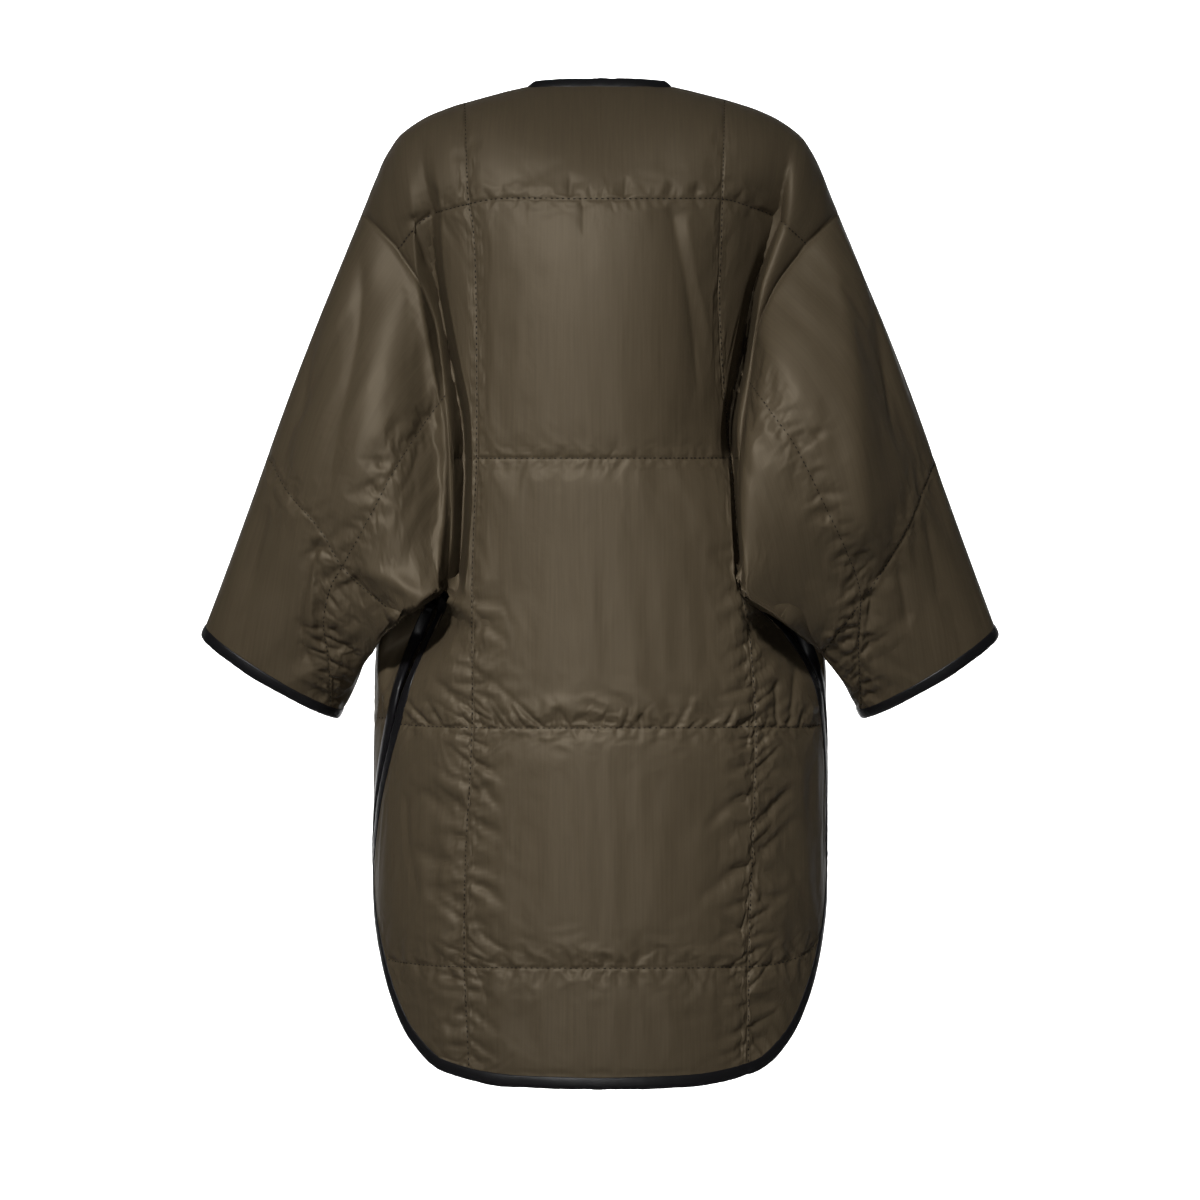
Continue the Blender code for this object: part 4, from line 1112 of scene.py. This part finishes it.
def gather(panel, gathers):
    """Simulates cloth that grows beside its stitch lines but is held at them and at its edges: it puckers."""
    rows, columns = panel.points.shape[:2]
    start = panel.outer()
    made = add_mesh("gathering", start, grid_faces(rows, columns, panel.closed, panel.flip), None)
    held = np.maximum(panel.nearest < HELD_WITHIN, panel.edge < HELD_WITHIN)
    weight_group(made, "held", held.astype(float))
    weight_group(made, "steady", 1 - growth(panel, gathers))
    cloth = made.modifiers.new("gathering", "CLOTH")
    cloth.settings.quality = CLOTH_QUALITY
    cloth.settings.mass = CLOTH_MASS
    cloth.settings.tension_stiffness = CLOTH_STRETCH
    cloth.settings.compression_stiffness = CLOTH_STRETCH
    cloth.settings.shear_stiffness = CLOTH_SHEAR
    cloth.settings.bending_stiffness = CLOTH_BENDING
    cloth.settings.effector_weights.gravity = 0
    cloth.settings.vertex_group_mass = "held"
    cloth.settings.vertex_group_shrink = "steady"
    cloth.settings.shrink_min = -GATHER_GROWTH
    cloth.settings.shrink_max = 0
    cloth.collision_settings.use_collision = False
    cloth.point_cache.frame_end = GATHER_FRAMES
    for step in range(1, GATHER_FRAMES + 1):
        bpy.context.scene.frame_set(step)
    shape = made.evaluated_get(bpy.context.evaluated_depsgraph_get()).data
    places = np.zeros(rows * columns * 3, dtype=np.float32)
    shape.vertices.foreach_get("co", places)
    shift = places.reshape(start.shape) - start
    size = np.linalg.norm(shift, axis=-1, keepdims=True)
    panel.shift = shift * np.minimum(1, GATHER_LIMIT / np.maximum(size, GATHER_LIMIT))
    bpy.data.objects.remove(made)
    bpy.context.scene.frame_set(1)


def armhole_dip(panel):
    """How far the armhole seam pulls the cloth in, which both of its panels share."""
    if panel.closed:
        return SEAM_DIP * np.exp(-panel.down / SEAM_DIP_WIDTH)
    across = flat_lengths(panel.points, 1)
    distance = across[:, -1:] - across
    if panel.name == "back":
        distance = np.minimum(distance, across)
    armhole_share = 1 - ease(panel.level, UNDERARM_LEVEL - SIDE_SEAM_BLEND, UNDERARM_LEVEL)
    return SEAM_DIP * armhole_share * np.exp(-distance / SEAM_DIP_WIDTH)


def settle(panel):
    """The cloth lies flat where it is bound or seamed, and the armhole seam pulls it in."""
    panel.relief *= 1 - np.exp(-panel.edge / EDGE_FADE)
    panel.points[..., 1] -= armhole_dip(panel) * np.clip(panel.points[..., 1] / SEAM_DIP_FROM, -1, 1)


# Meshes

def grid_faces(rows, columns, closed, flip, offset=0):
    """Quads of a grid of points, with its last column joined to the first where closed."""
    i, j = np.meshgrid(np.arange(rows - 1), np.arange(columns if closed else columns - 1), indexing="ij")
    after = (j + 1) % columns
    corners = [i * columns + j, i * columns + after, (i + 1) * columns + after, (i + 1) * columns + j]
    quads = np.stack(corners, -1).reshape(-1, 4) + offset
    return [tuple(q) for q in (quads[:, ::-1] if flip else quads).tolist()]


def add_mesh(name, points, faces, finish):
    mesh = bpy.data.meshes.new(name)
    mesh.from_pydata(np.asarray(points).reshape(-1, 3).tolist(), [], faces)
    mesh.shade_smooth()
    mesh.materials.append(finish)
    made = bpy.data.objects.new(name, mesh)
    bpy.context.scene.collection.objects.link(made)
    return made


def add_flat_map(made, flat):
    """Gives a mesh its flat cut, in metres, as the map that its weave follows."""
    corners = np.zeros(len(made.data.loops), dtype=np.int32)
    made.data.loops.foreach_get("vertex_index", corners)
    layer = made.data.uv_layers.new(name="flat")
    layer.data.foreach_set("uv", flat.reshape(-1, 2)[corners].ravel())


def every(count, step):
    """Places from 0 to the last, a step apart, with the last always among them."""
    places = list(range(0, count - 1, step))
    return places + [count - 1]


def rim(rows, columns, closed):
    """Grid places round a panel's edges, coarse places only, as loops."""
    down = every(rows, INNER_STEP)
    if closed:
        ring = list(range(0, columns, INNER_STEP))
        return [[(0, j) for j in ring], [(rows - 1, j) for j in ring]]
    across = every(columns, INNER_STEP)
    loop = [(0, j) for j in across[:-1]] + [(i, columns - 1) for i in down[:-1]]
    loop += [(rows - 1, j) for j in across[:0:-1]] + [(i, 0) for i in down[:0:-1]]
    return [loop]


def rim_faces(panel, in_rows, in_columns, count):
    """Faces between the fine outer edge and the coarse inner edge."""
    rows, columns = panel.points.shape[:2]
    faces = []
    for loop in rim(rows, columns, panel.closed):
        top_ring = panel.closed and loop[0][0] == 0
        for n, here in enumerate(loop):
            there = loop[(n + 1) % len(loop)]
            fine = between(here, there, columns, panel.closed)
            ends = [(in_rows.index(i), in_columns.index(j)) for i, j in (there, here)]
            coarse = [count + i * len(in_columns) + j for i, j in ends]
            face = tuple([i * columns + j for i, j in fine] + coarse)
            turned = panel.flip if not panel.closed else panel.flip == top_ring
            faces.append(face[::-1] if turned else face)
    return faces


def between(here, there, columns, closed):
    """Fine grid places from one coarse place on the edge to the next."""
    (i1, j1), (i2, j2) = here, there
    if closed and j2 < j1:
        j2 += columns
    steps = max(abs(i2 - i1), abs(j2 - j1))
    way_i, way_j = np.sign(i2 - i1), np.sign(j2 - j1)
    return [(i1 + n * way_i, (j1 + n * way_j) % columns) for n in range(steps + 1)]


def shell(panel, finish):
    """A panel as a thin closed shell: a fine outer face, and a coarser inner one a wall's thickness in."""
    outer = panel.outer()
    rows, columns = outer.shape[:2]
    in_rows = every(rows, INNER_STEP)
    in_columns = list(range(0, columns, INNER_STEP)) if panel.closed else every(columns, INNER_STEP)
    places = np.ix_(in_rows, in_columns)
    inner = outer[places] - panel.facing[places] * WALL
    count = rows * columns
    faces = grid_faces(rows, columns, panel.closed, panel.flip)
    faces += grid_faces(len(in_rows), len(in_columns), panel.closed, not panel.flip, count)
    faces += rim_faces(panel, in_rows, in_columns, count)
    points = np.concatenate([outer.reshape(-1, 3), inner.reshape(-1, 3)])
    made = add_mesh(panel.name + "_cloth", points, faces, finish)
    flat = np.stack([panel.across, panel.down], axis=-1)
    add_flat_map(made, np.concatenate([flat.reshape(-1, 2), flat[places].reshape(-1, 2)]))
    return made


def declare_cloth(made, panel):
    """Attaches a panel's cloth to the root and hides the panel's solid of the same name."""
    girth = panel.points
    if panel.closed:
        girth = np.concatenate([girth, girth[:, :1]], axis=1)
    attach(made, "root")
    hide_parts(panel.name)


# Bindings

def binding(name, points, inside, facing, closed, gap, lean, finish):
    """A folded leather strip along an edge, by its points, points further in, and how the cloth faces."""
    way = np.gradient(points, axis=0)
    if closed:
        way = np.roll(points, -1, axis=0) - np.roll(points, 1, axis=0)
    way = unit(way)
    out = unit(np.cross(way, facing))
    out *= np.sign(np.sum(out * (points - inside)))
    out = out + lean * np.array([0, 0, 1])
    out = unit(out - np.sum(out * way, axis=-1, keepdims=True) * way)
    across = np.cross(way, out)
    across *= np.sign(np.sum(across * facing))
    middle = points - facing * WALL / 2
    draw = np.random.default_rng(len(points))
    rough = draw.normal(0, BINDING_WOBBLE, len(points) + WOBBLE_SPAN - 1)
    wobble = np.convolve(rough, np.full(WOBBLE_SPAN, 1 / np.sqrt(WOBBLE_SPAN)), "valid")[:, None]
    rings = []
    for width, thickness in BINDING_SECTION:
        reach = gap * (width > 0) + BINDING_WIDTH * width * (1 + WOBBLE_IN_WIDTH * wobble)
        rise = across * BINDING_THICKNESS * thickness * (1 + wobble * (width > 0))
        rings.append(middle + out * reach + rise)
    grid = np.stack(rings, axis=1)
    if closed:
        grid = np.concatenate([grid, grid[:1]], axis=0)
    made = add_mesh(name + "_strip", grid, grid_faces(len(grid), len(BINDING_SECTION), False, False), finish)
    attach(made, "root")
    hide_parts(name)
    return made


def edge_line(panel, places, inward):
    """Points, points further in and facing at grid places on a panel's edge."""
    rows, columns = np.array(places).T
    further = panel.points[rows + inward[0], columns + inward[1]]
    return panel.points[rows, columns], further, panel.facing[rows, columns]


def joined(*lines):
    return [np.concatenate(column) for column in zip(*lines)]


def slit_top(panel, column):
    """First row of a panel's edge below the top of the slit."""
    return int(np.argmax(panel.level[:, column] > SLIT_TOP_LEVEL))


def bind_back(panel, finish):
    last, outer = panel.points.shape[0] - 1, panel.points.shape[1] - 1
    left = edge_line(panel, [(i, outer) for i in range(slit_top(panel, outer), last)], (0, -1))
    hem = edge_line(panel, [(last, j) for j in range(outer, -1, -1)], (-1, 0))
    right = edge_line(panel, [(i, 0) for i in range(last - 1, slit_top(panel, 0) - 1, -1)], (0, 1))
    binding("back_binding", *joined(left, hem, right), False, SEAM_GAP, 0, finish)


def bind_front(panel, side, finish):
    last, outer = panel.points.shape[0] - 1, panel.points.shape[1] - 1
    opening = edge_line(panel, [(i, 0) for i in range(last)], (0, 1))
    hem = edge_line(panel, [(last, j) for j in range(outer)], (-1, 0))
    slit = edge_line(panel, [(i, outer) for i in range(last, slit_top(panel, outer) - 1, -1)], (0, -1))
    binding("front_binding_" + side_name(side), *joined(opening, hem, slit), False, SEAM_GAP, 0, finish)


def bind_cuff(panel, side, finish):
    last = panel.points.shape[0] - 1
    ring = edge_line(panel, [(last, j) for j in range(panel.points.shape[1])], (-1, 0))
    binding("cuff_binding_" + side_name(side), *ring, True, SEAM_GAP, 0, finish)


def bind_neck(back, fronts, finish):
    """The strip from one front's opening edge round the neck to the other's."""
    reach = NECK_HALF_WIDTH - SEAM_GAP
    behind = [j for j in range(back.points.shape[1]) if abs(back.points[0, j, 0]) < reach]
    behind = edge_line(back, [(0, j) for j in behind[::-1]], (1, 0))
    halves = []
    for side in (1, -1):
        front = fronts[side]
        before = [j for j in range(front.points.shape[1]) if abs(front.points[0, j, 0]) < reach]
        points, further, way = edge_line(front, [(0, j) for j in before], (1, 0))
        beyond = unit(points[:1] - points[1:2]) * (BINDING_WIDTH + SEAM_GAP)
        halves.append(joined((points[:1] + beyond, further[:1] + beyond, way[:1]), (points, further, way)))
    turned = [column[::-1] for column in halves[1]]
    line = joined(halves[0], behind, turned)
    binding("neck_binding", *line, False, NECK_BINDING_GAP, NECK_BINDING_LEAN, finish)


# Stitching

def thread_rings(start, end, up):
    """Points of one stitch: a thin thread that dips into the cloth at both ends."""
    way = unit(end - start)
    over = np.cross(way, up)
    rings = []
    for ring in THREAD_RINGS:
        middle = start + (end - start) * ring.share + up * THREAD_RADIUS * ring.lift
        for turn in np.linspace(0, 2 * np.pi, THREAD_SIDES, endpoint=False):
            rings.append(middle + THREAD_RADIUS * ring.size * (np.cos(turn) * over + np.sin(turn) * up))
    return rings


def stitch_places(tree, route):
    """Where a stitch line lies on the cloth: lines of sight through it, on both layers that they meet."""
    eye = np.array([0, VIEW_DISTANCE, VIEW_HEIGHT])
    runs = ([], [])
    lengths = path_lengths(route)
    marks = along(route, np.arange(0, lengths[-1], STITCH_LENGTH / 2) / lengths[-1])
    for x, z in marks:
        way = unit(np.array([x, 0, z]) - eye)
        start = Vector(eye)
        for run in runs:
            place, normal, _, _ = tree.ray_cast(start, Vector(way))
            run.append(None if place is None else (np.array(place), np.array(normal)))
            if place is None:
                break
            start = place + Vector(way) * NEXT_LAYER
    return runs


def stitch(panel, lines, finish):
    """Thread along a panel's stitch lines, as one joined mesh."""
    outer = panel.outer()
    rows, columns = outer.shape[:2]
    quads = grid_faces(rows, columns, panel.closed, panel.flip)
    tree = BVHTree.FromPolygons(outer.reshape(-1, 3).tolist(), quads)
    points = []
    for route in lines.values():
        for run in stitch_places(tree, rounded(route)):
            covered = STITCH_PITCH
            for here, there in zip(run[:-1], run[1:]):
                if here is None or there is None:
                    continue
                step = np.linalg.norm(there[0] - here[0])
                covered += step
                if covered < STITCH_PITCH or step > LONGEST_STEP or step < THREAD_RADIUS:
                    continue
                covered = 0
                end = here[0] + unit(there[0] - here[0]) * STITCH_LENGTH
                points += thread_rings(here[0], end, here[1])
    faces = []
    for first in range(0, len(points), len(THREAD_RINGS) * THREAD_SIDES):
        faces += grid_faces(len(THREAD_RINGS), THREAD_SIDES, True, False, first)
    made = add_mesh(panel.name + "_thread", np.array(points), faces, finish)
    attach(made, "root")
    return made


# Materials

def principled(name, colour, roughness, specular):
    """A material of a plain colour and finish, with its tree and shader."""
    made = bpy.data.materials.new(name)
    made.use_nodes = True
    shader = made.node_tree.nodes["Principled BSDF"]
    shader.inputs["Base Color"].default_value = (*colour, 1)
    shader.inputs["Roughness"].default_value = roughness
    shader.inputs["Specular IOR Level"].default_value = specular
    return made, made.node_tree, shader


def flat_noise(tree, grain):
    """Noise over the flat cut, stretched by a grain's scale across and down."""
    place = tree.nodes.new("ShaderNodeUVMap")
    place.uv_map = "flat"
    mapping = tree.nodes.new("ShaderNodeMapping")
    mapping.inputs["Scale"].default_value = (*grain.scale, 1)
    noise = tree.nodes.new("ShaderNodeTexNoise")
    noise.inputs["Scale"].default_value = 1
    noise.inputs["Detail"].default_value = grain.detail
    tree.links.new(place.outputs["UV"], mapping.inputs["Vector"])
    tree.links.new(mapping.outputs["Vector"], noise.inputs["Vector"])
    return noise


def colour_band(tree, source, low, high, dark, light):
    """Colours between dark and light as a source goes from low to high."""
    ramp = tree.nodes.new("ShaderNodeValToRGB")
    ramp.color_ramp.elements[0].position = low
    ramp.color_ramp.elements[0].color = (*dark, 1)
    ramp.color_ramp.elements[1].position = high
    ramp.color_ramp.elements[1].color = (*light, 1)
    tree.links.new(source.outputs["Fac"], ramp.inputs["Fac"])
    return ramp


def add_bump(tree, source, grain, before=None):
    """A grain's relief, on top of one that comes before it."""
    bump = tree.nodes.new("ShaderNodeBump")
    bump.inputs["Strength"].default_value = grain.strength
    bump.inputs["Distance"].default_value = grain.height
    tree.links.new(source.outputs["Fac"], bump.inputs["Height"])
    if before:
        tree.links.new(before.outputs["Normal"], bump.inputs["Normal"])
    return bump


def nylon():
    """Olive-brown taffeta: a satin finish with faint upright streaks and a fine crumple."""
    made, tree, shader = principled("quilted_nylon", NYLON_LIGHT, NYLON_ROUGHNESS, NYLON_SPECULAR)
    shader.inputs["Specular Tint"].default_value = (*NYLON_TINT, 1)
    colours = colour_band(tree, flat_noise(tree, STREAKS), *STREAK_BAND, NYLON_DARK, NYLON_LIGHT)
    tree.links.new(colours.outputs["Color"], shader.inputs["Base Color"])
    crumple = add_bump(tree, flat_noise(tree, CRUMPLE), CRUMPLE)
    weave = add_bump(tree, flat_noise(tree, WEAVE), WEAVE, crumple)
    tree.links.new(weave.outputs["Normal"], shader.inputs["Normal"])
    return made


def leather():
    """Black leather with a fine grain and a soft gloss."""
    made, tree, shader = principled("binding_leather", LEATHER_COLOUR, LEATHER_ROUGHNESS, LEATHER_SPECULAR)
    place = tree.nodes.new("ShaderNodeTexCoord")
    noise = tree.nodes.new("ShaderNodeTexNoise")
    noise.inputs["Scale"].default_value = LEATHER_GRAIN.scale
    noise.inputs["Detail"].default_value = LEATHER_GRAIN.detail
    tree.links.new(place.outputs["Object"], noise.inputs["Vector"])
    bump = add_bump(tree, noise, LEATHER_GRAIN)
    tree.links.new(bump.outputs["Normal"], shader.inputs["Normal"])
    return made


# Nearly black thread: its own dark tone darkened further with the painted shade of its needle holes.
def thread():
    made, _, _ = principled("thread", THREAD_AND_HOLE_SHADE_COLOUR, THREAD_ROUGHNESS, THREAD_SPECULAR)
    return made


def floor_finish():
    made, _, _ = principled("pale_floor", FLOOR_COLOUR, FLOOR_ROUGHNESS, FLOOR_SPECULAR)
    return made


# Stage

def make_camera():
    data = bpy.data.cameras.new("camera")
    data.lens = VIEW_LENS
    data.sensor_width = SENSOR
    camera = bpy.data.objects.new("camera", data)
    camera.location = (0, VIEW_DISTANCE, VIEW_HEIGHT)
    camera.rotation_euler = (np.pi / 2, 0, np.pi)
    bpy.context.scene.collection.objects.link(camera)
    bpy.context.scene.camera = camera


def add_lamp(name, kind, lamp):
    """A lamp of a kind in its place, turned to what it points at."""
    data = bpy.data.lights.new(name, kind)
    data.energy = lamp.power
    made = bpy.data.objects.new(name, data)
    made.location = lamp.place
    made.rotation_euler = (Vector(lamp.aim) - Vector(lamp.place)).to_track_quat("-Z", "Y").to_euler()
    bpy.context.scene.collection.objects.link(made)
    return data


def add_area(name, lamp):
    data = add_lamp(name, "AREA", lamp)
    data.shape = "RECTANGLE"
    data.size, data.size_y = lamp.size


def add_spot(name, lamp):
    data = add_lamp(name, "SPOT", lamp)
    data.spot_size = np.radians(lamp.angle)
    data.spot_blend = lamp.blend
    data.shadow_soft_size = lamp.radius


def make_floor():
    """A pale floor that curves up into a backdrop."""
    profile = [(FLOOR_NEAR, 0.0), (-BACKDROP_AWAY, 0.0)]
    for angle in np.linspace(0, np.pi / 2, BACKDROP_STEPS)[1:]:
        profile.append((-BACKDROP_AWAY - BACKDROP_BEND * np.sin(angle), BACKDROP_BEND * (1 - np.cos(angle))))
    profile.append((-BACKDROP_AWAY - BACKDROP_BEND, BACKDROP_HEIGHT))
    points = [(x, y, FLOOR_LEVEL + z) for y, z in profile for x in (-FLOOR_HALF_WIDTH, FLOOR_HALF_WIDTH)]
    floor = add_mesh("floor", np.array(points), grid_faces(len(profile), 2, False, True), floor_finish())


def make_light():
    world = bpy.data.worlds.new("studio")
    world.use_nodes = True
    background = world.node_tree.nodes["Background"]
    background.inputs["Color"].default_value = (1, 1, 1, 1)
    background.inputs["Strength"].default_value = AMBIENT
    bpy.context.scene.world = world
    bpy.context.scene.view_settings.view_transform = "Standard"
    add_spot("key", KEY)
    add_area("front", FRONT_LAMP)
    add_spot("backdrop_light", BACKDROP_LAMP)


def main():
    make_camera()
    make_floor()
    make_light()
    cloth_finish, leather_finish, thread_and_hole_shade_finish = nylon(), leather(), thread()
    back = back_panel()
    panels = [(back, BACK_LINES, BACK_PUCKERS, BACK_GATHERS, BACK_CREASES)]
    fronts = {}
    for side in (1, -1):
        name = side_name(side)
        fronts[side] = front_panel(side)
        front_lines = mirrored(FRONT_LINES, side)
        front_creases = mirrored_creases(FRONT_CREASES, side)
        panels.append((fronts[side], front_lines, FRONT_PUCKERS, FRONT_GATHERS, front_creases))
        arm_puckers = tuple(run._replace(side=-side * run.side) for run in SLEEVE_PUCKERS)
        arm_creases = SLEEVE_CREASES[name]
        panels.append((sleeve_panel(side), SLEEVE_LINES[name], arm_puckers, SLEEVE_GATHERS, arm_creases))
    for seed, (panel, lines, puckers, gathers, creases) in enumerate(panels):
        panel.measure(lines)
        quilt(panel)
        pucker(panel, puckers, seed)
        fold(panel, creases)
        crumple(panel, seed)
        settle(panel)
        gather(panel, gathers)
        declare_cloth(shell(panel, cloth_finish), panel)
        stitch(panel, lines, thread_and_hole_shade_finish)
    bind_back(back, leather_finish)
    for side in (1, -1):
        bind_front(fronts[side], side, leather_finish)
    for panel, *_ in panels:
        if panel.closed:
            bind_cuff(panel, 1 if panel.name.endswith("left") else -1, leather_finish)
    bind_neck(back, fronts, leather_finish)


main()
